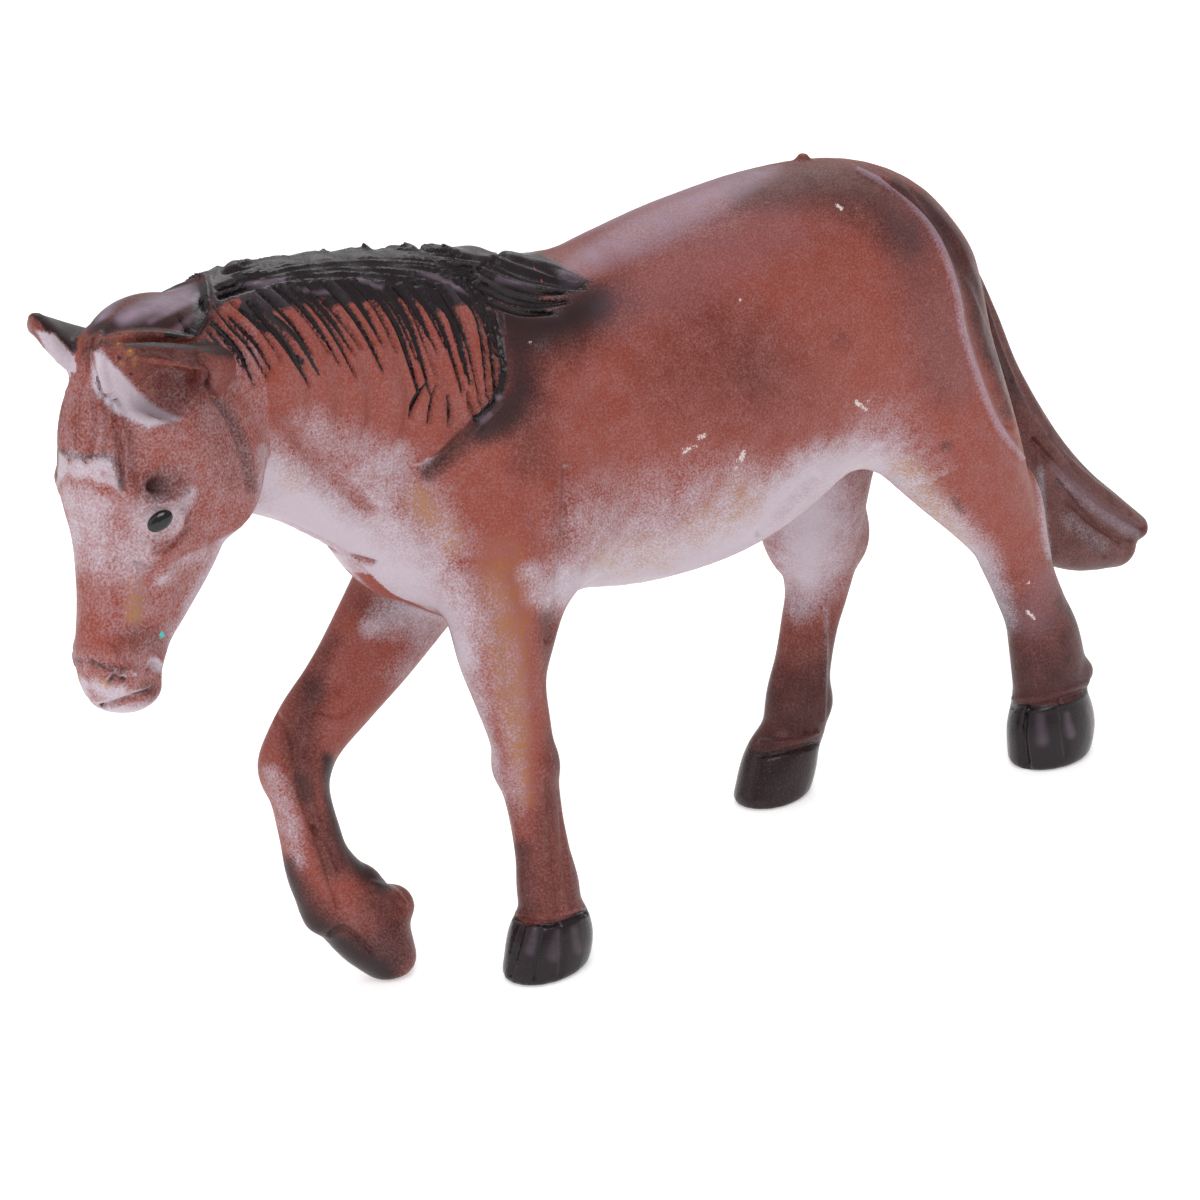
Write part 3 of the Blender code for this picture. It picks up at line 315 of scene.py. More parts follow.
# Outlines in the picture: the swollen ground of the mane and the forelock
MANE_PAD = (
    (206, 268), (260, 255), (330, 240), (480, 245), (560, 255), (590, 285), (560, 306), (515, 312),
    (503, 335), (506, 372), (500, 402), (470, 432), (410, 420), (372, 390), (320, 392), (282, 404),
    (240, 392), (205, 352), (196, 310),
)
FORELOCK_SLAB = (
    (60, 330), (100, 330), (110, 370), (124, 420), (128, 470), (136, 508), (120, 492), (112, 458),
    (88, 462), (70, 452), (52, 458), (40, 400),
)
# Hollows and swellings of the two right legs, which the camera sees behind the others
FAR_DENTS = (
    (0.45, (262, 705, 5), (292, 735, 7), (300, 790, 6), (322, 850, 6), (338, 905, 5)),
    (0.3, (318, 760, 4), (316, 790, 5), (322, 820, 3)), (0.4, (312, 828, 3), (328, 842, 5), (338, 868, 3)),
    (0.3, (360, 700, 4), (340, 715, 5), (320, 712, 3)), (0.45, (330, 934, 4), (345, 928, 5), (372, 952, 4)),
    (0.35, (400, 600, 10), (380, 650, 12), (340, 690, 8)),
    (0.3, (812, 600, 5), (812, 680, 6), (806, 730, 5)), (0.45, (760, 756, 4), (790, 750, 5), (816, 744, 4)),
    (0.3, (790, 560, 16), (800, 600, 10)),
)
FAR_SWELLS = (
    (0.4, (372, 884, 6), (392, 892, 8), (404, 904, 5)), (0.3, (310, 720, 12), (300, 760, 9)),
    (0.3, (824, 600, 5), (824, 660, 5), (822, 720, 5)), (0.3, (762, 742, 5), (790, 742, 5), (818, 732, 4)),
)

# The paint, as streaks in the picture: strength, then x, y and half width of each row. The bare plastic
# shows in the first two tables, and the spray is laid over it again in the third.
BARE = (
    (0.9, (572, 590, 34), (625, 588, 46), (690, 570, 46), (745, 540, 36), (790, 494, 30), (830, 470, 30),
        (872, 478, 34), (930, 520, 30), (975, 560, 24), (1004, 620, 16)),
    (0.36, (600, 530, 50), (680, 520, 60), (740, 490, 40)),
    (0.95, (262, 470, 34), (300, 508, 46), (350, 548, 52), (400, 582, 52), (440, 620, 36), (458, 660, 20)),
    (0.6, (452, 650, 20), (474, 700, 14), (492, 760, 9), (508, 840, 6)),
    (0.28, (480, 600, 30), (500, 670, 24), (512, 740, 16), (518, 810, 10)),
    (0.32, (310, 425, 22), (360, 460, 34), (405, 500, 40), (440, 545, 36)),
    (0.6, (532, 575, 16), (540, 592, 18)), (0.6, (1040, 470, 5), (1043, 520, 5), (1049, 556, 4)),
    (0.3, *tapered(HAUNCH_LINE, 4)), (0.35, (1062, 482, 7), (1100, 512, 7), (1138, 536, 6)),
    (0.1, (640, 235, 30), (720, 210, 30)), (0.4, (380, 470, 20), (400, 455, 16)),
    (0.35, (1070, 520, 10), (1100, 545, 10)), (0.3, (560, 300, 10), (540, 345, 8)),
)
FACE_BARE = (
    (0.45, (60, 492, 14), (84, 500, 16), (104, 506, 12)),
    (0.55, (96, 545, 24), (116, 556, 26), (140, 556, 18)),
    (0.75, (150, 520, 26), (176, 512, 12), (190, 492, 8)), (0.5, (90, 515, 26)),
    (0.8, (94, 684, 7), (112, 694, 9), (122, 690, 6)), (0.6, (108, 712, 7), (130, 712, 6)),
    (0.8, (154, 662, 6), (160, 670, 5)), (0.4, (215, 560, 14), (190, 610, 10)),
    (0.6, (263, 450, 6), (266, 500, 9)), (0.3, (80, 640, 8), (82, 670, 8)),
)
SPRAYED_AGAIN = (
    (0.75, (276, 412, 12), (322, 462, 18), (368, 508, 12)), (0.5, (250, 385, 12), (262, 420, 10)),
    (0.62, (430, 470, 14), (470, 520, 26), (520, 600, 28), (520, 660, 20)),
    (0.7, (344, 557, 5), (372, 562, 4)), (0.6, (262, 450, 5), (258, 478, 4)),
    (0.5, (120, 440, 20), (140, 480, 14), (140, 500, 10)), (0.4, (160, 590, 10), (150, 620, 10)),
    (0.89, (92, 596, 18), (98, 640, 26), (136, 640, 20)), (0.9, (160, 382, 18), (178, 386, 20)),
    (0.8, (86, 462, 4)), (0.6, (104, 474, 3)), (0.6, (66, 468, 3)), (0.55, (170, 544, 4), (192, 524, 4)),
    (0.6, (140, 568, 5), (156, 566, 4)), (0.6, (92, 650, 20), (130, 650, 20)),
)
# Smoky airbrushed paint. Some rows are painted shade instead: the shadow behind the jaw's rear edge, the dark
# brow hollow, the near ear's hollow under its rim, the shade behind the shoulder and the flank hollow.
SMOKE_AND_SHADE = (
    (1, (500, 318, 18), (545, 326, 26), (592, 306, 22)),
    (0.9, (515, 345, 26), (520, 385, 26), (506, 416, 20), (484, 430, 14)),
    (0.5, (560, 340, 34), (620, 300, 28)), (0.55, (545, 280, 16), (592, 300, 20)),
    (0.7, (430, 472, 10), (462, 442, 14), (498, 412, 18)), (0.35, (530, 410, 30), (530, 460, 22)),
    (0.55, (206, 386, 5), (230, 416, 6), (245, 450, 6), (253, 488, 5)),
    (0.2, (200, 400, 16), (222, 440, 18), (230, 480, 14)), (0.85, (156, 487, 15)), (0.4, (174, 480, 16)),
    (0.15, (560, 470, 16), (562, 540, 16)), (0.5, (200, 350, 12), (208, 380, 12)),
    (0.55, (548, 620, 12), (560, 720, 11), (572, 800, 10), (578, 900, 8)),
    (0.5, (560, 740, 16), (556, 800, 20), (545, 860, 26), (548, 905, 30)),
    (0.6, (520, 850, 12), (522, 910, 14)),
    (0.8, (1078, 610, 20), (1084, 660, 26), (1050, 690, 30), (1020, 690, 24)),
    (0.55, (1060, 560, 14), (1072, 600, 18)), (0.5, (1035, 610, 30), (1040, 660, 34)),
    (0.72, (896, 182, 6), (928, 208, 8), (955, 250, 10), (978, 300, 11), (992, 350, 10), (1050, 430, 11),
        (1110, 485, 11)),
    (0.8, (1120, 490, 16), (1148, 515, 14)), (0.4, (1060, 540, 12), (1090, 560, 14), (1130, 560, 12)),
    (0.2, (840, 340, 12)), (0.6, (946, 446, 6)), (0.45, (954, 500, 4), (962, 512, 3)),
    (0.7, (140, 348, 10), (190, 356, 14)), (0.45, (150, 366, 20), (176, 384, 22), (198, 392, 14)),
    (0.35, (130, 640, 14), (155, 640, 14)), (0.45, (150, 690, 10)),
    (0.68, (750, 190, 26), (810, 182, 34), (870, 196, 36), (906, 236, 26)),
    (0.2, (690, 296, 36), (738, 330, 34), (756, 372, 28)),
    (0.7, (930, 195, 10), (962, 240, 12), (985, 290, 12), (1000, 350, 12), (1014, 410, 10)),
    (0.25, (610, 262, 20), (720, 210, 24)), (0.3, (915, 250, 34), (930, 310, 34), (945, 380, 28)),
    (0.5, (90, 662, 4), (110, 668, 4), (126, 668, 3)), (0.25, (690, 370, 60), (760, 380, 60)),
    (1, (106, 330, 12), (140, 312, 20), (170, 300, 24), (200, 290, 24)),
    (0.95, (140, 328, 10), (170, 324, 14), (200, 318, 16)), (0.2, (74, 400, 18), (74, 440, 16)),
    (0.2, (120, 420, 22), (128, 470, 16)), (0.55, (62, 456, 5), (84, 457, 4), (113, 458, 4), (124, 486, 5)),
)
GLOSS_BLACK = (
    (0.95, (210, 290, 12), (240, 280, 12)), (0.9, (200, 300, 16), (196, 330, 12), (165, 336, 7)),
    (0.9, (240, 282, 14), (290, 272, 14), (340, 262, 14), (400, 262, 16), (460, 270, 16), (510, 276, 16),
        (550, 282, 12), (578, 288, 7)),
    (0.8, (330, 300, 12), (400, 290, 18), (450, 290, 16), (475, 300, 10)),
    (0.8, (498, 330, 8), (503, 362, 9), (498, 395, 9), (478, 418, 8)), (0.85, (480, 420, 6), (497, 396, 6)),
    (0.85, (246, 314, 4), (276, 334, 6), (304, 362, 3)),
    (0.85, (268, 312, 4), (296, 338, 6), (318, 374, 3)), (0.6, (45, 316, 10)), (0.9, (119, 358, 5)),
    (0.8, (131, 374, 4)), (0.8, (141, 380, 3)), (0.9, (34, 316, 4)), (0.7, (88, 700, 7), (100, 708, 5)),
    (0.9, (86, 462, 3)),
)
# Painted sheen: lilac painted highlights and glints on the back, the haunch's raised line, the poll, the
# legs, the hooves and the mane's ridges
PAINTED_SHEEN = (
    (0.45, *tapered(HAUNCH_LINE, 3)), (0.5, (575, 268, 14), (650, 228, 22), (710, 196, 20), (770, 166, 12)),
    (0.1, (620, 310, 30), (700, 260, 40), (780, 225, 30)),
    (0.6, (122, 318, 8), (152, 306, 12), (186, 292, 11)),
    (0.3, (150, 322, 3), (178, 306, 4), (194, 300, 3)), (0.3, (176, 330, 4), (194, 316, 4)),
    (0.05, (900, 210, 20), (930, 300, 34), (960, 380, 30)), (0.15, (1035, 620, 20), (1045, 580, 16)),
    (0.15, (298, 860, 10), (304, 900, 12)), (0.2, (1056, 470, 8), (1090, 500, 8), (1130, 530, 8)),
    (0.2, (1067, 714, 3), (1071, 734, 5)), (0.12, (1040, 716, 5), (1042, 740, 7)),
    (0.14, (1088, 702, 3), (1092, 732, 4)), (0.12, (536, 930, 4), (530, 950, 6)),
    (0.1, (558, 934, 5), (554, 956, 7)), (0.12, (574, 930, 4), (578, 950, 5)),
    (0.3, (362, 276, 3), (384, 284, 3)), (0.3, (300, 286, 2), (330, 292, 2)),
    (0.35, (250, 282, 3), (286, 276, 3)), (0.3, (420, 268, 2), (452, 280, 3), (470, 292, 2)),
    (0.35, (500, 276, 3), (536, 284, 3)), (0.4, (500, 398, 3)), (0.35, (484, 421, 3), (492, 414, 2)),
)
OCHRE = (
    (0.3, (500, 560, 24), (505, 640, 22), (515, 720, 16), (527, 800, 8)),
    (0.15, (524, 600, 8), (522, 680, 7), (530, 740, 5)), (0.55, (136, 582, 8), (134, 614, 10)),
    (0.9, (105, 684, 5)), (0.8, (84, 697, 4), (96, 707, 5)), (0.9, (139, 514, 4)), (0.8, (118, 344, 4)),
    (0.85, (130, 352, 4)), (0.7, (122, 364, 3)), (0.8, (136, 366, 3)), (0.6, (152, 393, 3)),
    (0.7, (42, 326, 3)), (0.5, (905, 470, 18), (925, 505, 22), (950, 545, 22)),
    (0.35, (740, 500, 24), (700, 530, 20)), (0.4, (420, 500, 16), (450, 540, 16)), (0.3, (290, 480, 12)),
    (0.9, (562, 976, 4)), (0.7, (112, 718, 4)), (0.35, (610, 560, 20), (660, 555, 20)),
    (0.35, (860, 475, 14)),
)
CHIPS = (
    (1, (684, 452, 4), (690, 448, 4)), (1, (700, 438, 4), (706, 434, 3)), (0.9, (696, 446, 3)),
    (1, (740, 460, 4), (744, 452, 3)), (0.9, (736, 468, 3)), (1, (856, 402, 3), (866, 410, 3)),
    (1, (868, 402, 2)), (1, (836, 205, 2.6), (841, 209, 2.6)), (1, (741, 300, 2.5)), (1, (1029, 583, 3)),
    (1, (1028, 612, 3), (1034, 618, 2.5)), (0.9, (530, 343, 2)), (0.8, (857, 208, 2)),
    (0.7, (962, 310, 2.5)), (1, (152, 526, 1.6)),
)
TEAL_SPECK = ((1, (162, 635, 3)),)
# Outlines in the picture: the black crest, the bare brow, and the pale linings of the ears
CREST = (
    (204, 262), (262, 236), (330, 218), (470, 222), (536, 250), (594, 282), (570, 296), (520, 293),
    (500, 300), (470, 304), (440, 312), (402, 296), (360, 300), (322, 286), (280, 300), (240, 296),
    (212, 312),
)
BROW_PATCH = (
    (56, 450), (66, 456), (80, 452), (92, 458), (113, 455), (115, 470), (129, 498), (112, 487), (98, 484),
    (88, 477), (74, 480), (64, 474), (56, 463),
)
NEAR_EAR_LINING = (
    (95, 352), (104, 354), (118, 369), (134, 386), (149, 402), (180, 419), (150, 428), (113, 412),
    (95, 390),
)
FAR_EAR_LINING = ((35, 330), (54, 333), (68, 348), (79, 362), (77, 388), (58, 374))

# Bare plastic and smoke on the two right legs, which the camera sees behind the others
FAR_BARE = (
    (0.75, (450, 604, 36), (405, 612, 26), (372, 626, 12)), (0.3, (430, 640, 16), (396, 676, 14)),
    (0.4, (272, 772, 9), (282, 800, 12), (292, 835, 11), (300, 862, 8)),
    (0.95, (800, 480, 60), (810, 530, 54), (806, 575, 34)), (0.35, (800, 610, 16)),
    (0.35, (826, 610, 4), (826, 700, 3)),
)
FAR_SMOKE = (
    (1, (285, 870, 14), (302, 915, 24), (334, 945, 28), (380, 974, 20)),
    (1, (330, 950, 12), (384, 976, 10)), (0.55, (300, 780, 8), (318, 830, 11), (332, 870, 12)),
    (1, (380, 884, 10), (354, 856, 16), (336, 810, 12), (328, 760, 8)),
    (0.62, (312, 690, 18), (300, 740, 20), (306, 790, 14)), (0.4, (330, 640, 12), (310, 690, 12)),
    (0.85, (740, 790, 34), (790, 790, 38), (770, 750, 36)), (0.6, (770, 720, 28), (815, 700, 28)),
    (0.35, (790, 640, 24), (810, 680, 24)), (0.3, (400, 600, 20), (370, 600, 20)),
    (0.6, (385, 900, 26), (392, 950, 24)),
)

# The mirrored marks fade on the far haunch and beside the raised leg: how much, then each axis and the
# values between which the fading sets in
FADES = ((0.85, (1, -0.5, 2), (0, 30, 42)), (0.9, (1, 1, 3), (0, 14, 6), (2, 53, 44)))
FAR_FACE_FADE = 0.75
# A mark shows where the skin turns to the camera by more than this, and a groove by a little less
FACING = (-0.05, 0.3)
GRAZING = (-0.1, 0.1)

# Rules of the relief: heights in millimetres, and how soft the outlines' edges are in the picture
PAD_SWELL, PAD_EDGE = 0.1, 14
SLAB_SWELL, SLAB_EDGE = 0.5, 5
GROOVE_DEPTH = 0.75

# Rules of the paint: a strength, then the two values between which it sets in. These are slopes of the
# skin on the belly, the back and the ears, shares of an outline or a groove, and otherwise heights.
SPRAY_MOST = 0.95
BELLY_BARE = (0.75, 0.15, 0.8)
BELLY_TOP = 62
HEAD_BARE = (0.13, 82, 78)
BROW_BARE, BROW_EDGE = 0.8, 7
LINING_BARE, LINING_CLEAN = 0.97, 0.95
NEAR_LINING_EDGE, FAR_LINING_EDGE = 4, 3
BACK_SMOKE = (0.25, 0.35, 0.95)
BACK_LOW = 60
HIND_SMOKE = 0.82
HIND_SMOKE_TOPS = (33, 27)
HIND_SMOKE_FULL = 12
FORE_SMOKE = (0.5, 26, 8)
TAIL_SMOKE = 0.64
EAR_BACK = (1, 0.25, -0.35)
EAR_BACK_SMOKE, EAR_SMOKE = 0.75, 0.3
FORELOCK_SMOKE = (0.75, 79, 83)
FORELOCK_EDGE, FORELOCK_INSIDE = 12, (1, 0.2, 1)
CREST_EDGE, CREST_LOW = 16, (1, 60, 66)
RIDGE_LOW, RIDGE_BACK = (1, -4, -2.5), (1, -3, -8)
CREST_BLACK, EAR_BLACK = 0.9, 0.2
GROOVE_BLACK = (1, 0.75, 0.9, 0.6)
HOOF_BLACK, HOOF_EDGE = (0.72, 0.45, 0.9, 0.6), 0.3
# The crest's painted sheen: a painted highlight on the ridges between its grooves
CREST_SHEEN, CREST_SHEEN_GROOVE = 0.07, (1, 0.35, 0)
# How far the edges of the tables' streaks spread
BARE_SPREAD, FAR_BARE_SPREAD, SPRAY_SPREAD, SMOKE_AND_SHADE_SPREAD, STAIN_AND_SHEEN_SPREAD = 1.4, 1.5, 1.6, 1.6, 1.5

# The eyes are painted domes. The near one is found through the camera, at this point of the picture.
# The far one is its mirror image, moved back along the head and sunk.
EYE_SPOT = (160, 521)
EYE_RADII = (1.3, 0.85, 0.55)
EYE_LEAN = 0.36 * UP - 0.9 * AHEAD
EYE_RINGS = 24
EYE_ROUGHNESS = 0.12
FAR_EYE_BACK = 3
FAR_EYE_SUNK = 0.25

# The studio: the floor's half width in metres, its roughness and its glow, the light of the white world,
# and soft lamps as name, place, size and power, all aimed at the figure
FLOOR_REACH = 3
FLOOR_ROUGHNESS = 0.6
FLOOR_GLOW = 0.45
WORLD_LIGHT = 0.52
LAMPS = (
    ("key_light", (-0.35, -0.45, 0.75), 0.5, 3.4), ("fill_light", (-0.6, 0.1, 0.35), 0.6, 0.8),
    ("back_light", (0.35, 0.3, 0.6), 0.5, 1.4),
)


def unit(vector):
    """The same direction, one long."""
    return vector / np.linalg.norm(vector)


def head_point(ahead, left, up):
    """A point given in the turned head's own directions."""
    return POLL + ahead * AHEAD + left * ASIDE + up * UP


def head_run(rows):
    """Stations of a run in the head's own directions, brought to the figure's."""
    return [(*head_point(*row[:3]), *row[3:]) for row in rows]


def closely(rows, steps):
    """More stations on a smooth curve through the given ones."""
    rows = np.array(rows, float)
    fine = []
    for index in range(len(rows) - 1):
        before = rows[max(index - 1, 0)]
        start = rows[index]
        end = rows[index + 1]
        after = rows[min(index + 2, len(rows) - 1)]
        for step in range(steps):
            t = step / steps
            bend = 2 * before - 5 * start + 4 * end - after
            twist = 3 * start - before - 3 * end + after
            fine.append((2 * start + (end - before) * t + bend * t ** 2 + twist * t ** 3) / 2)
    fine.append(rows[-1])
    return np.array(fine)


def melted(first, second, blend):
    """The union of two distance fields, with a fillet where they meet."""
    share = np.clip(0.5 + 0.5 * (second - first) / blend, 0, 1)
    return second + (first - second) * share - blend * share * (1 - share)


class Clay:
    """A block of space that holds the signed distance to the sculpture."""

    def __init__(self, low, high, grain):
        self.low = np.array(low, float)
        self.grain = grain
        self.count = np.ceil((np.array(high) - self.low) / grain).astype(int) + 1
        self.lines = [(self.low[i] + grain * np.arange(self.count[i])).astype(np.float32) for i in range(3)]
        self.field = np.full(tuple(self.count), FAR_OFF, np.float32)

    def window(self, low, high):
        """The part of the block between two corners."""
        first = np.clip(np.floor((np.array(low) - self.low) / self.grain).astype(int), 0, self.count - 1)
        last = np.clip(np.ceil((np.array(high) - self.low) / self.grain).astype(int) + 1, 1, self.count)
        return tuple(slice(first[i], last[i]) for i in range(3))

    def places(self, window):
        """The x, y and z of each point of a window."""
        return np.meshgrid(*[self.lines[i][window[i]] for i in range(3)], indexing="ij", sparse=True)

    def run(self, rows, side, reach=6.0, steps=6):
        """The distance to a run of elliptical sections, whose widths lie along the side direction."""
        fine = closely(rows, steps)
        widest = fine[:, 3:].max(axis=1)[:, None] + reach
        window = self.window((fine[:, :3] - widest).min(axis=0), (fine[:, :3] + widest).max(axis=0))
        found = np.full(tuple(part.stop - part.start for part in window), FAR_OFF, np.float32)
        for start, end in zip(fine, fine[1:]):
            margin = max(*start[3:], *end[3:]) + reach
            low = np.minimum(start[:3], end[:3]) - margin
            high = np.maximum(start[:3], end[:3]) + margin
            near = self.window(low, high)
            near = tuple(slice(max(a.start, b.start), min(a.stop, b.stop)) for a, b in zip(near, window))
            inner = tuple(
                slice(near[i].start - window[i].start, near[i].stop - window[i].start) for i in range(3)
            )
            x, y, z = self.places(near)
            path = end[:3] - start[:3]
            length = np.linalg.norm(path)
            along = path / length
            across = unit(side - (side @ along) * along)
            rise = np.cross(along, across)
            share = (x - start[0]) * along[0] + (y - start[1]) * along[1] + (z - start[2]) * along[2]
            share = np.clip(share / length, 0, 1)
            gap = [line - start[i] - share * path[i] for i, line in enumerate((x, y, z))]
            width = start[3] + share * (end[3] - start[3])
            depth = start[4] + share * (end[4] - start[4])
            radii = (width, depth, np.minimum(width, depth))
            parts = [sum(gap[i] * axis[i] for i in range(3)) for axis in (across, rise, along)]
            found[inner] = np.minimum(found[inner], oval_distance(parts, radii))
        return window, found

    def ball(self, centre, radii, turn=None, reach=6.0):
        """The distance to an ellipsoid, whose axes are the rows of the turn."""
        centre = np.array(centre, float)
        margin = max(radii) + reach
        window = self.window(centre - margin, centre + margin)
        gap = [line - centre[i] for i, line in enumerate(self.places(window))]
        if turn is not None:
            gap = [sum(axis[i] * gap[i] for i in range(3)) for axis in turn]
        return window, oval_distance(gap, radii)

    def add(self, form, blend):
        """Press a form into the sculpture."""
        window, found = form
        self.field[window] = melted(self.field[window], found, blend)

    def scoop(self, form, blend):
        """Take a form out of the sculpture."""
        window, found = form
        self.field[window] = -melted(-self.field[window], found, blend)


def oval_distance(parts, radii):
    """Nearly the distance to an ellipsoid, from a point's parts along its axes."""
    first = np.sqrt(sum((part / radius) ** 2 for part, radius in zip(parts, radii))) + TINY
    second = np.sqrt(sum((part / radius ** 2) ** 2 for part, radius in zip(parts, radii))) + TINY
    return first * (first - 1) / second


def ear_of(clay, rows, outward):
    """A hollow ear, and the direction that it opens in."""
    rows = np.array(rows, float)
    ahead, aside, up = EAR_OPENING
    opening = unit(ahead * AHEAD + outward * aside * ASIDE + up * UP)
    places = np.array([head_point(*row[:3]) for row in rows])
    across = np.cross(opening, places[-1] - places[0])
    clay.add(clay.run(head_run(rows), across, reach=3, steps=8), MELT["ear"])
    off, narrower, shallower = EAR_HOLLOW
    hollow = []
    for place, row in zip(places, rows):
        width = max(row[3] - narrower, EAR_LEAST)
        hollow.append((*place + off * opening, width, max(row[4] - shallower, EAR_LEAST)))
    clay.scoop(clay.run(hollow[1:], across, reach=3, steps=8), MELT["scoop"])
    return opening


def mane_lock(root_share, hand):
    """Stations of one lock of the mane, which hangs from the crest on one side of the neck."""
    stations = closely(NECK, steps=3)
    rows = []
    for along_share, angle, half_width, half_depth in MANE_LOCK:
        place = min(max(root_share + along_share, 0), 1) * (len(stations) - 1)
        index = min(int(place), len(stations) - 2)
        along = stations[index + 1] - stations[index]
        station = stations[index] + (place - index) * along
        along = unit(along[:3])
        across = unit(hand * (ACROSS - (along @ ACROSS) * along))
        rise = unit(UP - (along @ UP) * along)
        turn = math.radians(angle)
        outward = across * math.sin(turn) * station[3]
        centre = station[:3] + outward + rise * math.cos(turn) * (station[4] - MANE_SUNK)
        rows.append((*centre, half_width, half_depth))
    return rows


def sculpt():
    """Model the whole horse in clay."""
    clay = Clay(BLOCK_LOW, BLOCK_HIGH, GRAIN)
    clay.add(clay.run(TRUNK, ACROSS), MELT["trunk"])
    for hand in (LEFT, RIGHT):
        for kind, ((x, y, z), radii), axes in (
            ("haunch", HAUNCH, None), ("shoulder", SHOULDER, SHOULDER_AXES),
        ):
            clay.add(clay.ball((x, hand * y, z), radii, axes), MELT[kind])
    clay.add(clay.run(NECK, ACROSS), MELT["neck"])
    sunk, *ridge_radii = CREST_RIDGE
    ridge = [(x, y, z + depth - sunk, *ridge_radii) for x, y, z, width, depth in NECK[1:]]
    clay.add(clay.run(ridge, ACROSS, reach=3), MELT["ridge"])
    for index in range(MANE_LOCKS):
        root_share = MANE_START + MANE_SPAN * index / (MANE_LOCKS - 1)
        for hand in (LEFT, RIGHT):
            clay.add(clay.run(mane_lock(root_share, hand), FORWARD, reach=3, steps=3), MELT["lock"])
    for leg in (LEFT_FORE, RIGHT_FORE, LEFT_HIND, RIGHT_HIND):
        clay.add(clay.run(leg, ACROSS), MELT["leg"])
    for place, radii in LEG_LUMPS:
        clay.add(clay.ball(place, radii), MELT["knee"])
    for hoof in HOOVES:
        clay.add(clay.run(hoof, ACROSS, reach=3), MELT["hoof"])
    clay.add(clay.run(head_run(HEAD), ASIDE), MELT["head"])
    clay.add(clay.run(head_run(NOSE_BRIDGE), ASIDE), MELT["bridge"])
    for hand in (LEFT, RIGHT):
        for (ahead, aside, up), radii in HEAD_LUMPS:
            centre = head_point(ahead - FAR_LUMP_SHIFT * (hand == RIGHT), -hand * aside, up)
            clay.add(clay.ball(centre, radii, HEAD_AXES), MELT["face"])
        for (ahead, aside, up), radii in HEAD_HOLLOWS:
            clay.scoop(clay.ball(head_point(ahead, -hand * aside, up), radii, HEAD_AXES), MELT["hollow"])
    clay.add(clay.run(head_run(FORELOCK), ASIDE), MELT["forelock"])
    for x, y, z, radius in NUBS:
        clay.add(clay.ball((x, y, z), (radius,) * 3, reach=2), MELT["nub"])
    body = clay.field.copy()
    clay.add(clay.run(TAIL, ACROSS), MELT["tail"])
    clay.add(clay.run(TAIL_LOBE, ACROSS), MELT["lobe"])
    openings = [ear_of(clay, rows, outward) for rows, outward in ((NEAR_EAR, 1), (FAR_EAR, -1))]
    clay.field = -melted(-clay.field, clay.lines[2][None, None, :], MELT["ground"])
    return clay, body, openings


def skin_of(clay, labels):
    """The surface round and between the labelled regions, as points and as quads with both sides' labels."""
    cells = tuple(clay.count - 1)
    least = np.full(cells, len(NODES), np.int8)
    most = np.zeros(cells, np.int8)
    for dx, dy, dz in itertools.product((0, 1), repeat=3):
        corner = labels[dx:cells[0] + dx, dy:cells[1] + dy, dz:cells[2] + dz]
        np.minimum(least, corner, out=least)
        np.maximum(most, corner, out=most)
    active = least != most
    spots = np.argwhere(active)
    numbers = np.full(cells, -1, np.int64)
    numbers[active] = np.arange(len(spots))
    total = np.zeros((len(spots), 3))
    weight = np.zeros(len(spots))
    skin = np.zeros(len(spots), bool)
    # Each point is the mean of the crossings on its cell's edges: of the skin's, or else of the walls'.
    for outer_pass, axis, first, second in itertools.product((True, False), range(3), (0, 1), (0, 1)):
        others = [i for i in range(3) if i != axis]
        start = spots.copy()
        start[:, others[0]] += first
        start[:, others[1]] += second
        end = start.copy()
        end[:, axis] += 1
        start_label = labels[tuple(start.T)]
        end_label = labels[tuple(end.T)]
        if outer_pass:
            a = clay.field[tuple(start.T)]
            b = clay.field[tuple(end.T)]
            crossed = (start_label == 0) != (end_label == 0)
            share = np.where(crossed, a / np.where(crossed, a - b, 1), 0)
            skin |= crossed
        else:
            crossed = (start_label != end_label) & ~skin
            share = np.full(len(spots), 0.5)
        hit = start.astype(float)
        hit[:, axis] += share
        total[crossed] += hit[crossed]
        weight[crossed] += 1
    points = clay.low + clay.grain * total / weight[:, None]
    quads = []
    sides = []
    for axis in range(3):
        others = ((axis + 1) % 3, (axis + 2) % 3)
        near = [slice(1, clay.count[i] - 1) for i in range(3)]
        near[axis] = slice(0, clay.count[axis] - 1)
        far = list(near)
        far[axis] = slice(1, clay.count[axis])
        inner = labels[tuple(near)]
        outer = labels[tuple(far)]
        edges = np.argwhere(inner != outer)
        lead = edges + np.array([part.start for part in near])
        corners = []
        for first, second in ((-1, -1), (0, -1), (0, 0), (-1, 0)):
            place = lead.copy()
            place[:, others[0]] += first
            place[:, others[1]] += second
            corners.append(numbers[tuple(place.T)])
        quads.append(np.stack(corners, axis=1))
        sides.append(np.stack([inner[tuple(edges.T)], outer[tuple(edges.T)]], axis=1))
    return points, np.concatenate(quads), np.concatenate(sides)


NODES = (
    "body_left_shell", "body_right_shell", "neck", "head", "left_ear", "right_ear", "left_fore_leg",
    "right_fore_leg", "left_hind_leg", "right_hind_leg", "tail",
)
(
    LEFT_SHELL, RIGHT_SHELL, NECK_PART, HEAD_PART, LEFT_EAR, RIGHT_EAR, LEFT_FORE_LEG, RIGHT_FORE_LEG,
    LEFT_HIND_LEG, RIGHT_HIND_LEG, TAIL_PART,
) = range(1, len(NODES) + 1)
LEGS = (LEFT_FORE_LEG, RIGHT_FORE_LEG, LEFT_HIND_LEG, RIGHT_HIND_LEG)
RIGHT_LEGS = (RIGHT_FORE_LEG, RIGHT_HIND_LEG)
EARS = (LEFT_EAR, RIGHT_EAR)


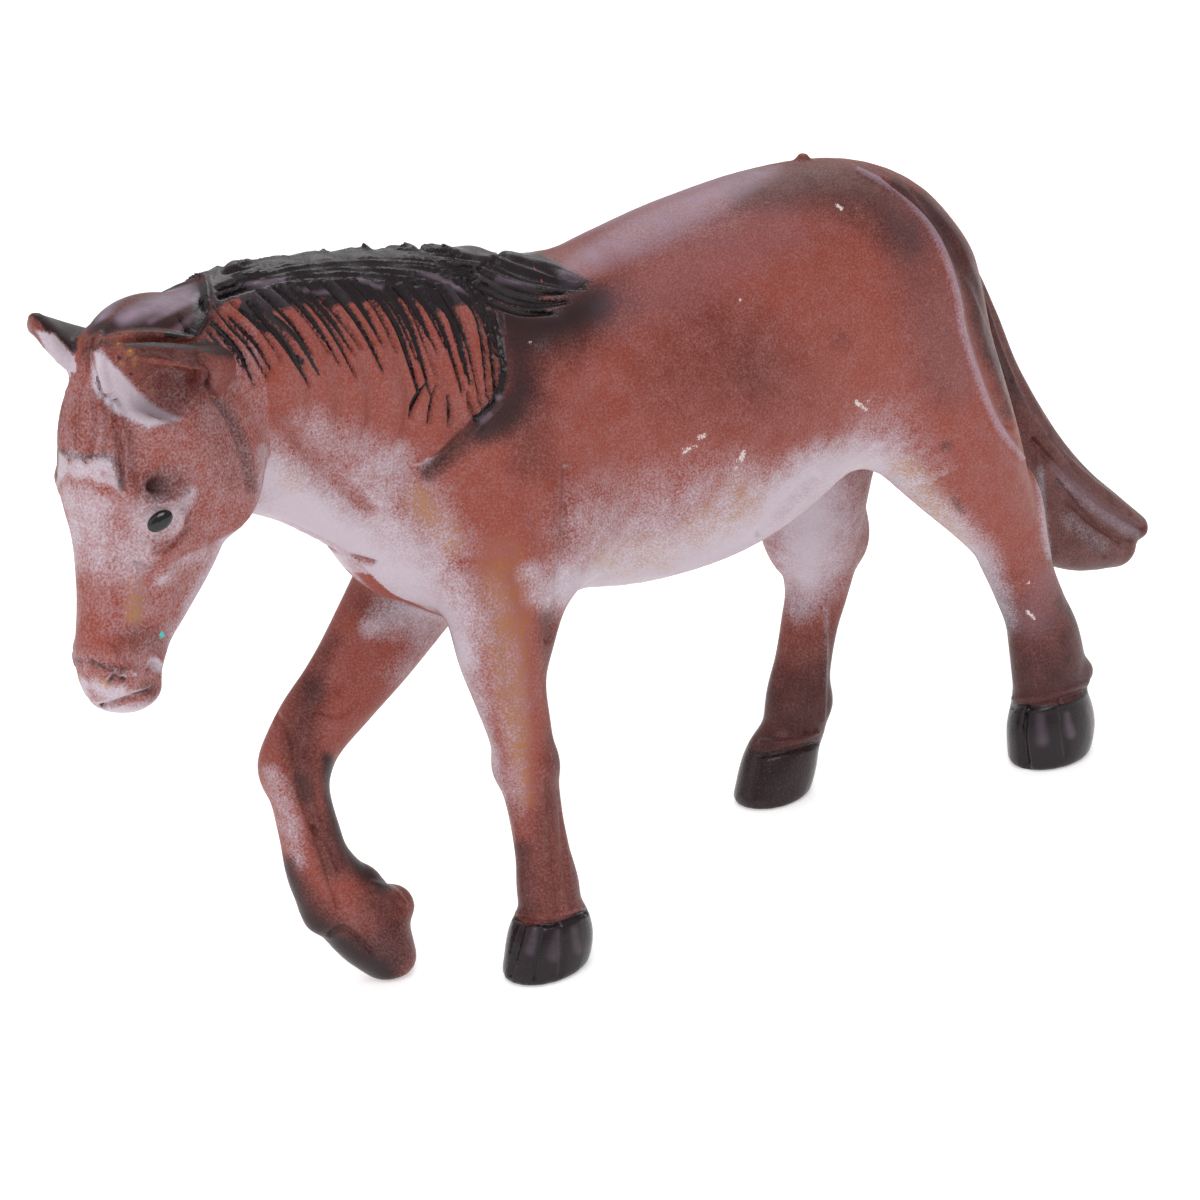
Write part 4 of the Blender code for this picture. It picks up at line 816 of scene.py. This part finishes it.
def labels_of(clay, body):
    """Which node each point inside the clay belongs to, by its number from 1, with 0 outside."""
    x, y, z = clay.places(tuple(slice(0, count) for count in clay.count))
    inside = clay.field < 0
    labels = np.where(y < 0, LEFT_SHELL, RIGHT_SHELL) * np.ones(inside.shape, np.int8)

    def past(seam):
        return (x - seam[0]) * seam[2] + (z - seam[1]) * seam[3]

    ahead = (x - POLL[0]) * AHEAD[0] + (y - POLL[1]) * AHEAD[1]
    left = (x - POLL[0]) * ASIDE[0] + (y - POLL[1]) * ASIDE[1]
    fore = (past(FORE_SEAM) < 0) & (x > FORE_SPAN[0]) & (x < FORE_SPAN[1])
    hind = x > HIND_START
    added = (body > 0) & inside
    ears = added & (ahead > EAR_START) & (z > EAR_HEIGHT)
    for number, region in (
        (NECK_PART, past(NECK_SEAM) > 0), (HEAD_PART, ahead > HEAD_SEAM),
        (LEFT_FORE_LEG, fore & (y < 0)), (RIGHT_FORE_LEG, fore & (y >= 0)),
        (LEFT_HIND_LEG, (past(LEFT_HIND_SEAM) < 0) & hind & (y < -HIND_SIDE)),
        (RIGHT_HIND_LEG, (past(RIGHT_HIND_SEAM) < 0) & hind & (y > HIND_SIDE)),
        (TAIL_PART, added & (x > TAIL_START)), (LEFT_EAR, ears & (left > 0)), (RIGHT_EAR, ears & (left <= 0)),
        (0, ~inside),
    ):
        labels[np.broadcast_to(region, inside.shape)] = number
    return labels


def edges_of(quads):
    """The quads' edges as sorted pairs, with the edge number of each quad side."""
    pairs = np.stack([quads, np.roll(quads, -1, axis=1)], axis=2).reshape(-1, 2)
    pairs.sort(axis=1)
    width = pairs.max() + 1
    keys, sides = np.unique(pairs[:, 0] * width + pairs[:, 1], return_inverse=True)
    return np.stack([keys // width, keys % width], axis=1), sides.reshape(-1, 4)


def averaged(points, edges):
    """The mean of each point's neighbours."""
    total = np.zeros_like(points)
    for axis in range(3):
        total[:, axis] += np.bincount(edges[:, 0], points[edges[:, 1], axis], len(points))
        total[:, axis] += np.bincount(edges[:, 1], points[edges[:, 0], axis], len(points))
    count = np.bincount(edges.ravel(), minlength=len(points))
    return total / np.maximum(count, 1)[:, None]


def softened(points, quads, outer, passes):
    """Smooth the skin without shrinking it, then the walls inside it."""
    skin_edges = edges_of(quads[outer])[0]
    all_edges = edges_of(quads)[0]
    on_skin = np.zeros(len(points), bool)
    on_skin[quads[outer].ravel()] = True
    for strength in SMOOTHING * passes:
        moved = averaged(points, skin_edges) - points
        points[on_skin] += strength * moved[on_skin]
    for _ in range(passes):
        moved = averaged(points, all_edges) - points
        points[~on_skin] += WALL_SMOOTHING * moved[~on_skin]
    return points


def refined(points, quads, sides):
    """Split each quad in four."""
    edges, numbers = edges_of(quads)
    middles = points[edges].mean(axis=1)
    centres = points[quads].mean(axis=1)
    first_middle = len(points)
    first_centre = first_middle + len(edges)
    centre = first_centre + np.arange(len(quads))
    fine = []
    for corner in range(4):
        ahead = first_middle + numbers[:, corner]
        behind = first_middle + numbers[:, corner - 1]
        fine.append(np.stack([quads[:, corner], ahead, centre, behind], axis=1))
    return np.concatenate([points, middles, centres]), np.concatenate(fine), np.tile(sides, (4, 1))


def normals_of(points, quads):
    """The quads' normals and the mean normals of their points."""
    faces = np.cross(points[quads[:, 2]] - points[quads[:, 0]], points[quads[:, 3]] - points[quads[:, 1]])
    total = np.zeros_like(points)
    for corner in range(4):
        for axis in range(3):
            total[:, axis] += np.bincount(quads[:, corner], faces[:, axis], len(points))
    faces /= np.maximum(np.linalg.norm(faces, axis=1), TINY_AREA)[:, None]
    return faces, total / np.maximum(np.linalg.norm(total, axis=1), TINY_AREA)[:, None]


def placed(name, data):
    """A new object in the scene."""
    item = bpy.data.objects.new(name, data)
    bpy.context.scene.collection.objects.link(item)
    return item


def piece_from(name, points, quads, corner_normals, masks):
    """A mesh object of some of the skin's quads, with the paint masks of its points."""
    used, corners = np.unique(quads, return_inverse=True)
    corners = corners.reshape(-1)
    mesh = bpy.data.meshes.new(name)
    mesh.vertices.add(len(used))
    mesh.vertices.foreach_set("co", ((points[used] + SHIFT) * MM).astype(np.float32).ravel())
    mesh.loops.add(len(corners))
    mesh.loops.foreach_set("vertex_index", corners.astype(np.int32))
    mesh.polygons.add(len(quads))
    mesh.polygons.foreach_set("loop_start", np.arange(0, len(corners), 4, dtype=np.int32))
    mesh.update(calc_edges=True)
    mesh.shade_smooth()
    mesh.normals_split_custom_set(corner_normals.reshape(-1, 3).tolist())
    for layer, values in masks.items():
        attribute = mesh.attributes.new(layer, "FLOAT", "POINT")
        attribute.data.foreach_set("value", values[used].astype(np.float32))
    return placed(name, mesh)


def seen_from_camera(points):
    """Where the camera sees each point in the picture."""
    gaps = (points - CAMERA_PLACE) @ VIEW
    return PICTURE / 2 + FOCAL * gaps[:, :2] / -gaps[:, 2:] * (1, -1)


def streak(seen, rows):
    """How deep each point lies in a streak, whose rows give x, y and half width in the picture."""
    rows = np.array(rows, float)
    rows = closely(rows, steps=4) if len(rows) > 2 else np.concatenate([rows, rows[-1:]])
    wide = rows[:, 2].max()
    close = (seen > rows[:, :2].min(axis=0) - wide) & (seen < rows[:, :2].max(axis=0) + wide)
    near = np.flatnonzero(close.all(axis=1))
    best = np.zeros(len(near))
    for start, end in zip(rows, rows[1:]):
        path = end[:2] - start[:2]
        gap = seen[near] - start[:2]
        share = np.clip(gap @ path / max(path @ path, TINY), 0, 1)[:, None]
        width = start[2] + share[:, 0] * (end[2] - start[2])
        off = np.linalg.norm(gap - share * path, axis=1) / width
        best = np.maximum(best, np.clip(1 - off ** 2, 0, 1) ** 2)
    found = np.zeros(len(seen))
    found[near] = best
    return found


def combed(guides, count, seed):
    """Grooves that run between the guide lines, none quite like the next."""
    guides = np.array(guides, float)
    chance = np.random.RandomState(seed)
    shares = np.linspace(0, 1, guides.shape[1])
    grooves = []
    for index in range(count):
        stray = chance.uniform(-GROOVE_STRAY, GROOVE_STRAY)
        place = np.clip((index + stray) / (count - 1), 0, 1) * (len(guides) - 1)
        before = min(int(place), len(guides) - 2)
        line = guides[before] + (place - before) * (guides[before + 1] - guides[before])
        ends = np.linspace(chance.uniform(*GROOVE_STARTS), chance.uniform(*GROOVE_ENDS), len(GROOVE_FORM))
        widest = chance.uniform(*GROOVE_WIDTHS)
        sway = chance.uniform(*GROOVE_SWAYS)
        rows = []
        for share, (width, bend) in zip(ends, GROOVE_FORM):
            x, y = [np.interp(share, shares, line[:, i]) for i in (0, 1)]
            rows.append((x + bend * sway, y, widest * width))
        grooves.append(rows)
    return grooves


def patch(seen, corners, soft):
    """How much each point lies inside an outline in the picture, whose edge is this soft."""
    corners = np.array(corners, float)
    close = (seen > corners.min(axis=0) - soft) & (seen < corners.max(axis=0) + soft)
    near = np.flatnonzero(close.all(axis=1))
    spots = seen[near]
    least = np.full(len(near), np.inf)
    inside = np.zeros(len(near), bool)
    for start, end in zip(corners, np.roll(corners, -1, axis=0)):
        path = end - start
        gap = spots - start
        share = np.clip(gap @ path / (path @ path), 0, 1)[:, None]
        least = np.minimum(least, np.linalg.norm(gap - share * path, axis=1))
        if path[1]:
            level = (start[1] > spots[:, 1]) != (end[1] > spots[:, 1])
            inside ^= level & (gap[:, 0] < gap[:, 1] * path[0] / path[1])
    found = np.zeros(len(seen))
    found[near] = np.clip(0.5 + np.where(inside, least, -least) / soft, 0, 1)
    return found


def near_twin(vectors, points, is_place):
    """Mirror what belongs to the right half of the figure to the half that the camera sees."""
    gap = points - POLL
    on_head = gap @ AHEAD > HEAD_SEAM
    middle = np.interp(points[:, 0], NECK_LINE[:, 0], NECK_LINE[:, 1])
    twin = vectors.copy()
    turned = on_head & (gap @ ASIDE < 0)
    part = (vectors - POLL * is_place) @ ASIDE
    twin[turned] -= 2 * part[turned, None] * ASIDE
    over = ~on_head & (points[:, 1] > middle)
    twin[over, 1] = 2 * middle[over] * is_place - vectors[over, 1]
    return twin


def soft_step(values, low, high):
    """Rise smoothly from 0 to 1 between two values."""
    share = np.clip((values - low) / (high - low), 0, 1)
    return share * share * (3 - 2 * share)


def rule(values, strength, low, high):
    """A strength that sets in smoothly between two values."""
    return strength * soft_step(values, low, high)


def drawn(table, seen, weight, spread=1.0):
    """The strength that a table's streaks leave on each point, their edges spread by a factor."""
    bare = np.ones(len(seen))
    for amount, *rows in table:
        wide = [(x, y, width * spread) for x, y, width in rows]
        bare *= 1 - amount * streak(seen, wide) * weight
    return 1 - bare


def raised(table, seen, weight):
    """The height that a table's streaks give each point."""
    return sum(amount * streak(seen, rows) for amount, *rows in table) * weight


# The camera comes before the skin, because the relief and the paint are drawn through it.
camera = placed("camera", bpy.data.cameras.new("camera"))
camera.data.lens = LENS
camera.data.sensor_width = SENSOR
camera.data.clip_start = CLIP_START
camera.location = (CAMERA_PLACE + SHIFT) * MM
look = Vector(CAMERA_LOOK).to_track_quat("-Z", "Y").to_matrix() @ Matrix.Rotation(CAMERA_ROLL, 3, "Z")
camera.rotation_euler = look.to_euler()
bpy.context.scene.camera = camera
VIEW = np.array(look)

clay, body, openings = sculpt()
labels = labels_of(clay, body)
points, quads, sides = skin_of(clay, labels)
reverse = sides[:, 0] == 0
quads[reverse] = quads[reverse][:, ::-1]
outer = (sides == 0).any(axis=1)
points = softened(points, quads, outer, COARSE_PASSES)
points, quads, sides = refined(points, quads, sides)
outer = (sides == 0).any(axis=1)
points = softened(points, quads, outer, FINE_PASSES)
normals = normals_of(points, quads[outer])[1]
owner = np.zeros(len(points), int)
owner[quads[outer].ravel()] = np.repeat(sides[outer].max(axis=1), 4)

# What the camera sees of each point, or of its twin on the near side
right_leg = np.isin(owner, RIGHT_LEGS)
far_ear = owner == RIGHT_EAR
alone = right_leg | far_ear
seen_points = np.where(alone[:, None], points, near_twin(points, points, 1))
seen_normals = np.where(alone[:, None], normals, near_twin(normals, points, 0))
seen = seen_from_camera(seen_points)
toward = CAMERA_PLACE - seen_points
facing = (seen_normals * toward).sum(axis=1) / np.linalg.norm(toward, axis=1)
grazing = soft_step(facing, *GRAZING) * (owner > 0)
facing = soft_step(facing, *FACING) * (owner > 0)
tail = owner == TAIL_PART
on_head = owner == HEAD_PART
leg = np.isin(owner, LEGS)
ear = np.isin(owner, EARS)
x, y, z = points.T
near = facing * ~alone
for fade, *steps in FADES:
    for axis, low, high in steps:
        fade = rule(points[:, axis], fade, low, high)
    near *= 1 - fade
far_face = on_head & ((points - POLL) @ ASIDE < 0)
shaped = near * (1 - FAR_FACE_FADE * far_face)
far = facing * right_leg

# Relief
cut = np.zeros(len(points))
cut_paint = np.zeros(len(points))
grooves = [rows for comb in COMBS for rows in combed(*comb)]
for number, rows in enumerate([*MANE_CUTS, *grooves]):
    depth = streak(seen, rows)
    cut = np.maximum(cut, depth)
    cut_paint = np.maximum(cut_paint, GROOVE_BLACK[number % len(GROOVE_BLACK)] * depth)
mane = grazing * ~alone * ~ear * ~tail
height = PAD_SWELL * patch(seen, MANE_PAD, PAD_EDGE) * mane - GROOVE_DEPTH * cut * mane
height += SLAB_SWELL * patch(seen, FORELOCK_SLAB, SLAB_EDGE) * shaped * ~ear * ~tail
height += raised(SWELLS, seen, shaped) - raised(DENTS, seen, shaped)
height += raised(FAR_SWELLS, seen, far) - raised(FAR_DENTS, seen, far)

# The walls inside follow the skin that they meet.
moves = height[:, None] * normals
wall = owner == 0
all_edges = edges_of(quads)[0]
for _ in range(WALL_PASSES):
    moves[wall] = averaged(moves, all_edges)[wall]
points += moves
skin_normals = normals_of(points, quads[outer])[1]
face_normals = normals_of(points, quads)[0]

# Paint
down = np.clip(-skin_normals[:, 2], 0, 1)
ear_back = np.zeros(len(points))
for number, opening in zip(EARS, openings):
    ear_back += rule(skin_normals @ opening, *EAR_BACK) * (owner == number)
lining = patch(seen, NEAR_EAR_LINING, NEAR_LINING_EDGE) * near * ~far_face
lining += patch(seen, FAR_EAR_LINING, FAR_LINING_EDGE) * facing * far_ear

spray = SPRAY_MOST - rule(down, *BELLY_BARE) * (z < BELLY_TOP) * ~leg * ~tail - rule(z, *HEAD_BARE) * on_head
spray *= 1 - BROW_BARE * patch(seen, BROW_PATCH, BROW_EDGE) * near
spray *= 1 - drawn(BARE, seen, near * ~ear * ~on_head, BARE_SPREAD)
spray *= 1 - drawn(FACE_BARE, seen, near * on_head, BARE_SPREAD)
spray *= 1 - drawn(FAR_BARE, seen, far, FAR_BARE_SPREAD)
spray = np.maximum(spray, drawn(SPRAYED_AGAIN, seen, near * ~ear, SPRAY_SPREAD))
spray *= 1 - LINING_BARE * lining

# Smoky airbrush on the near side, with painted shade in the hollows and creases that the table's rows cover
smoke_and_shade = drawn(SMOKE_AND_SHADE, seen, near, SMOKE_AND_SHADE_SPREAD)
hind_tops = np.where(owner == LEFT_HIND_LEG, *HIND_SMOKE_TOPS)
forelock = patch(seen, FORELOCK_SLAB, FORELOCK_EDGE)
for part in (
    drawn(FAR_SMOKE, seen, far, SMOKE_AND_SHADE_SPREAD),
    rule(skin_normals[:, 2], *BACK_SMOKE) * (z > BACK_LOW) * ~ear,
    rule(z, HIND_SMOKE, hind_tops, HIND_SMOKE_FULL) * np.isin(owner, (LEFT_HIND_LEG, RIGHT_HIND_LEG)),
    rule(z, *FORE_SMOKE) * ((owner == LEFT_FORE_LEG) + (owner == RIGHT_FORE_LEG) * (1 - facing)),
    TAIL_SMOKE * tail,
    (EAR_BACK_SMOKE * ear_back + EAR_SMOKE) * ear,
    rule(forelock, *FORELOCK_INSIDE) * rule(z, *FORELOCK_SMOKE) * ~ear,
):
    smoke_and_shade = np.maximum(smoke_and_shade, part)
smoke_and_shade *= 1 - LINING_CLEAN * lining

black = np.maximum(drawn(GLOSS_BLACK, seen, near * ~tail * ~leg), cut_paint * mane)
crest = patch(seen, CREST, CREST_EDGE) * mane * rule(z, *CREST_LOW)
crest_top = np.interp(x, NECK_LINE[:, 0], NECK_LINE[:, 2] + NECK_LINE[:, 4])
crest = np.maximum(crest, rule(z - crest_top, *RIDGE_LOW) * rule(x, *RIDGE_BACK) * (owner <= NECK_PART))
black = np.maximum(black, CREST_BLACK * crest)
black = np.maximum(black, EAR_BLACK * ear_back) * (1 - lining)
for number, top, strength in zip(LEGS, HOOF_TOPS, HOOF_BLACK):
    black = np.maximum(black, rule(z, strength, top + HOOF_EDGE, top - HOOF_EDGE) * (owner == number))

# Painted sheen: lilac painted highlights from the table, and on the crest's ridges
crest_sheen = CREST_SHEEN * crest * rule(cut, *CREST_SHEEN_GROOVE)
painted_sheen = np.maximum(drawn(PAINTED_SHEEN, seen, near * ~ear, STAIN_AND_SHEEN_SPREAD), crest_sheen)
masks = {
    "spray": spray, "smoke_and_shade": smoke_and_shade, "black": black, "ochre": drawn(OCHRE, seen, near, STAIN_AND_SHEEN_SPREAD),
    "chip": drawn(CHIPS, seen, near), "teal": drawn(TEAL_SPECK, seen, near), "painted_sheen": painted_sheen * (1 - lining),
}


class Signal:
    """An output of a material's node, which Python's own signs can work with."""

    def __init__(self, tree, socket=None):
        self.tree = tree
        self.socket = socket

    def make(self, kind, settings, values, output=0):
        """A new node with its settings and input values, given as its output."""
        node = self.tree.nodes.new(kind)
        for key, value in settings.items():
            setattr(node, key, value)
        for key, value in values.items():
            if isinstance(value, Signal):
                self.tree.links.new(value.socket, node.inputs[key])
            else:
                node.inputs[key].default_value = value
        return Signal(self.tree, node.outputs[output])

    def maths(self, operation, first, second):
        return self.make("ShaderNodeMath", {"operation": operation}, {0: first, 1: second})

    def __add__(self, other):
        return self.maths("ADD", self, other)

    def __sub__(self, other):
        return self.maths("SUBTRACT", self, other)

    def __rsub__(self, other):
        return self.maths("SUBTRACT", other, self)

    def __mul__(self, other):
        return self.maths("MULTIPLY", self, other)

    __radd__ = __add__
    __rmul__ = __mul__

    def held(self):
        """Kept between 0 and 1."""
        return self.make("ShaderNodeClamp", {}, {0: self})

    def between(self, first, second):
        """A colour between two, by this share of the second."""
        return self.make("ShaderNodeMix", {"data_type": "RGBA"}, {0: self, 6: first, 7: second}, 2)


def tone(red, green, blue):
    """A paint's colour from its amounts of red, green and blue out of 255."""
    shares = [part / 255 for part in (red, green, blue)]
    return (*[((share + 0.055) / 1.055) ** 2.4 if share > 0.04 else share / 12.92 for share in shares], 1)


PALE_PLASTIC = tone(190, 177, 187)
RED_BROWN = tone(138, 63, 49)
# The smoky brown is the airbrushed smoke and also the colour of the painted shade
SMOKE_AND_SHADE_BROWN = tone(46, 28, 30)
# A lilac painted sheen, which stands for highlights of light on the glossy paint
LILAC_SHEEN = tone(160, 138, 156)
MANE_BLACK = tone(30, 20, 24)
OCHRE_STAIN = tone(172, 128, 62)
CHIP_WHITE = tone(208, 192, 190)
TEAL = tone(40, 190, 185)
EYE_BLACK = tone(8, 7, 8)
FLOOR_WHITE = (0.9, 0.9, 0.9, 1)
PURE_WHITE = (1, 1, 1, 1)
# The grain of the spray and of the plastic's broader mottling, as the noises' scales and details
SPECKLE = {"Scale": 4400, "Detail": 2}
BLOTCH = {"Scale": 420, "Detail": 3}
# How much of the two noises each layer takes up, where it starts and how steeply it rises
SPRAY_SPECKS, EDGE_SPECKS, EDGE_BLOTCH, EDGE_RISE = 0.22, 1.3, 0.8, 4
SMOKE_AND_SHADE_SPECKS, SMOKE_AND_SHADE_BLOTCH, SMOKE_AND_SHADE_RISE = 1.2, 0.6, 3
OCHRE_BASE, OCHRE_SPECKS, OCHRE_BLOTCH = 0.45, 7, 3
BLACK_SPECKS, BLACK_START, BLACK_RISE = 0.5, 0.38, 4
CHIP_SPECKS, CHIP_BLOTCH, CHIP_START, CHIP_RISE, CHIP_EDGE = 4, 0.8, 0.45, 4, 6
SHEEN_BLOTCH, TEAL_RISE = 2, 3
# The surface: the plastic's roughness, what the noises add to it and what black and the smoke and painted
# shade take off, its shine, the black's clear coat, and the fine bumps
ROUGHNESS, ROUGH_SPECKS, ROUGH_BLOTCH, BLACK_SMOOTH, SMOKE_AND_SHADE_SMOOTH = 0.44, 0.25, 0.2, 0.17, 0.06
SHINE = 0.22
BLACK_COAT, COAT_ROUGHNESS = 0.16, 0.18
BUMPS = {"Strength": 0.5, "Distance": 0.0001}


def blank(name):
    """A new material, and its shader."""
    material = bpy.data.materials.new(name)
    material.use_nodes = True
    return material, material.node_tree.nodes["Principled BSDF"]


def painted_plastic(name):
    """Pale plastic with red-brown and smoky spray, painted shade and painted sheen, as the masks say."""
    material, shader = blank(name)
    tree = material.node_tree
    start = Signal(tree)
    place = start.make("ShaderNodeTexCoord", {}, {}, "Object")
    layer = {key: start.make("ShaderNodeAttribute", {"attribute_name": key}, {}, "Fac") for key in masks}
    speckle = start.make("ShaderNodeTexNoise", {}, {"Vector": place, **SPECKLE}) - 0.5
    blotch = start.make("ShaderNodeTexNoise", {}, {"Vector": place, **BLOTCH}) - 0.5
    # The spray and the smoke and painted shade break up into specks most where they are half as thick as
    # they can be. The ochre comes in specks, and the black and the chips have sharp, uneven edges.
    spray = layer["spray"]
    loose = spray * (1 - spray) * EDGE_RISE
    cover = spray + speckle * loose * EDGE_SPECKS + speckle * SPRAY_SPECKS + blotch * loose * EDGE_BLOTCH
    cover = cover.held()
    smoke_and_shade = layer["smoke_and_shade"]
    broken = speckle * SMOKE_AND_SHADE_SPECKS + blotch * SMOKE_AND_SHADE_BLOTCH
    smoke_and_shade = (smoke_and_shade + broken * smoke_and_shade * (1 - smoke_and_shade) * SMOKE_AND_SHADE_RISE).held()
    ochre = (layer["ochre"] * (OCHRE_BASE + speckle * OCHRE_SPECKS + blotch * OCHRE_BLOTCH)).held()
    black = ((layer["black"] + speckle * BLACK_SPECKS - BLACK_START) * BLACK_RISE).held()
    chip = layer["chip"] + speckle * CHIP_SPECKS + blotch * CHIP_BLOTCH - CHIP_START
    chip = (chip * CHIP_RISE).held() * (layer["chip"] * CHIP_EDGE).held()
    colour = cover.between(PALE_PLASTIC, RED_BROWN)
    # Smoky airbrush and painted shade darken the colour alike
    colour = smoke_and_shade.between(colour, SMOKE_AND_SHADE_BROWN)
    colour = ochre.between(colour, OCHRE_STAIN)
    colour = black.between(colour, MANE_BLACK)
    # The lilac painted sheen lies over the paint as painted highlights
    colour = (layer["painted_sheen"] * (1 + blotch * SHEEN_BLOTCH)).held().between(colour, LILAC_SHEEN)
    colour = chip.between(colour, CHIP_WHITE)
    colour = (layer["teal"] * TEAL_RISE).held().between(colour, TEAL)
    tree.links.new(colour.socket, shader.inputs["Base Color"])
    shader.inputs["Specular IOR Level"].default_value = SHINE
    roughness = ROUGHNESS + speckle * ROUGH_SPECKS + blotch * ROUGH_BLOTCH - black * BLACK_SMOOTH
    roughness = (roughness - layer["smoke_and_shade"] * SMOKE_AND_SHADE_SMOOTH).held()
    tree.links.new(roughness.socket, shader.inputs["Roughness"])
    tree.links.new((black * BLACK_COAT).held().socket, shader.inputs["Coat Weight"])
    shader.inputs["Coat Roughness"].default_value = COAT_ROUGHNESS
    bump = start.make("ShaderNodeBump", {}, {**BUMPS, "Height": speckle + blotch}, "Normal")
    tree.links.new(bump.socket, shader.inputs["Normal"])
    return material


def plain_gloss(name, colour, roughness):
    """One even glossy paint."""
    material, shader = blank(name)
    shader.inputs["Base Color"].default_value = colour
    shader.inputs["Roughness"].default_value = roughness
    return material


NODE_SLOTS = dict(zip(NODES, ["coat_paint"] * 4 + ["ear_paint"] * 2 + ["leg_paint"] * 4 + ["tail_paint"]))
COATS = {slot: painted_plastic(slot.replace("_", " ")) for slot in dict.fromkeys(NODE_SLOTS.values())}
for number, node in enumerate(NODES, 1):
    mine = (sides == number).any(axis=1)
    faces = quads[mine].copy()
    corner_normals = np.where(outer[mine][:, None, None], skin_normals[faces], face_normals[mine][:, None, :])
    turned = ~outer[mine] & (sides[mine][:, 1] == number)
    faces[turned] = faces[turned][:, ::-1]
    corner_normals[turned] = -corner_normals[turned]
    item = piece_from(node + "_sculpt", points, faces, corner_normals, masks)
    item.data.materials.append(COATS[NODE_SLOTS[node]])
    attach(item, "root")
    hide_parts(node)


def dome(name, place, normal):
    """A small smooth dome on the skin, its length along the eye."""
    along = unit(EYE_LEAN - (EYE_LEAN @ normal) * normal)
    axes = (along, np.cross(normal, along), normal)
    half = EYE_RINGS // 2
    rings = []
    faces = []
    for row in range(half + 1):
        tip = math.pi * row / half
        for step in range(EYE_RINGS):
            turn = 2 * math.pi * step / EYE_RINGS
            parts = (math.sin(tip) * math.cos(turn), math.sin(tip) * math.sin(turn), math.cos(tip))
            rings.append(place + sum(r * p * axis for r, p, axis in zip(EYE_RADII, parts, axes)))
            if row < half:
                a = row * EYE_RINGS + step
                b = row * EYE_RINGS + (step + 1) % EYE_RINGS
                faces.append((a, a + EYE_RINGS, b + EYE_RINGS, b))
    mesh = bpy.data.meshes.new(name)
    mesh.from_pydata(((np.array(rings) + SHIFT) * MM).tolist(), [], faces)
    mesh.shade_smooth()
    return placed(name, mesh)


head_faces = quads[outer & (sides == HEAD_PART).any(axis=1)]
used, corners = np.unique(head_faces, return_inverse=True)
tree = BVHTree.FromPolygons(points[used].tolist(), corners.reshape(-1, 4).tolist())
ray = VIEW @ np.array(((EYE_SPOT[0] - PICTURE / 2) / FOCAL, (PICTURE / 2 - EYE_SPOT[1]) / FOCAL, -1))
place, normal = [np.array(part) for part in tree.ray_cast(Vector(CAMERA_PLACE), Vector(ray))[:2]]
for name in ("left_eye", "right_eye"):
    if name == "right_eye":
        place = place - 2 * ((place - POLL) @ ASIDE) * ASIDE - FAR_EYE_BACK * AHEAD
        place, normal = [np.array(part) for part in tree.find_nearest(Vector(place))[:2]]
        place -= FAR_EYE_SUNK * normal
    item = dome(name, place, normal)
    item.data.materials.append(plain_gloss("eye black", EYE_BLACK, EYE_ROUGHNESS))
    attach(item, "root")
    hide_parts("head")

corners = [(x * FLOOR_REACH, y * FLOOR_REACH, 0) for x, y in ((-1, -1), (1, -1), (1, 1), (-1, 1))]
floor = placed("floor", bpy.data.meshes.new("floor"))
floor.data.from_pydata(corners, [], [(0, 1, 2, 3)])
floor.data.materials.append(plain_gloss("white floor", FLOOR_WHITE, FLOOR_ROUGHNESS))
glow = floor.data.materials[0].node_tree.nodes["Principled BSDF"]
glow.inputs["Emission Color"].default_value = PURE_WHITE
glow.inputs["Emission Strength"].default_value = FLOOR_GLOW

for name, spot, size, power in LAMPS:
    lamp = placed(name, bpy.data.lights.new(name, "AREA"))
    lamp.data.shape = "SQUARE"
    lamp.data.size = size
    lamp.data.energy = power
    lamp.location = spot
    lamp.rotation_euler = (-Vector(spot)).to_track_quat("-Z", "Y").to_euler()
world = bpy.data.worlds.new("white studio")
bpy.context.scene.world = world
world.use_nodes = True
backdrop = world.node_tree.nodes["Background"]
backdrop.inputs["Color"].default_value = PURE_WHITE
rays = world.node_tree.nodes.new("ShaderNodeLightPath")
strength = world.node_tree.nodes.new("ShaderNodeMix")
strength.inputs["A"].default_value = WORLD_LIGHT
strength.inputs["B"].default_value = 1
world.node_tree.links.new(rays.outputs["Is Camera Ray"], strength.inputs["Factor"])
world.node_tree.links.new(strength.outputs["Result"], backdrop.inputs["Strength"])
bpy.context.scene.view_settings.view_transform = "Standard"
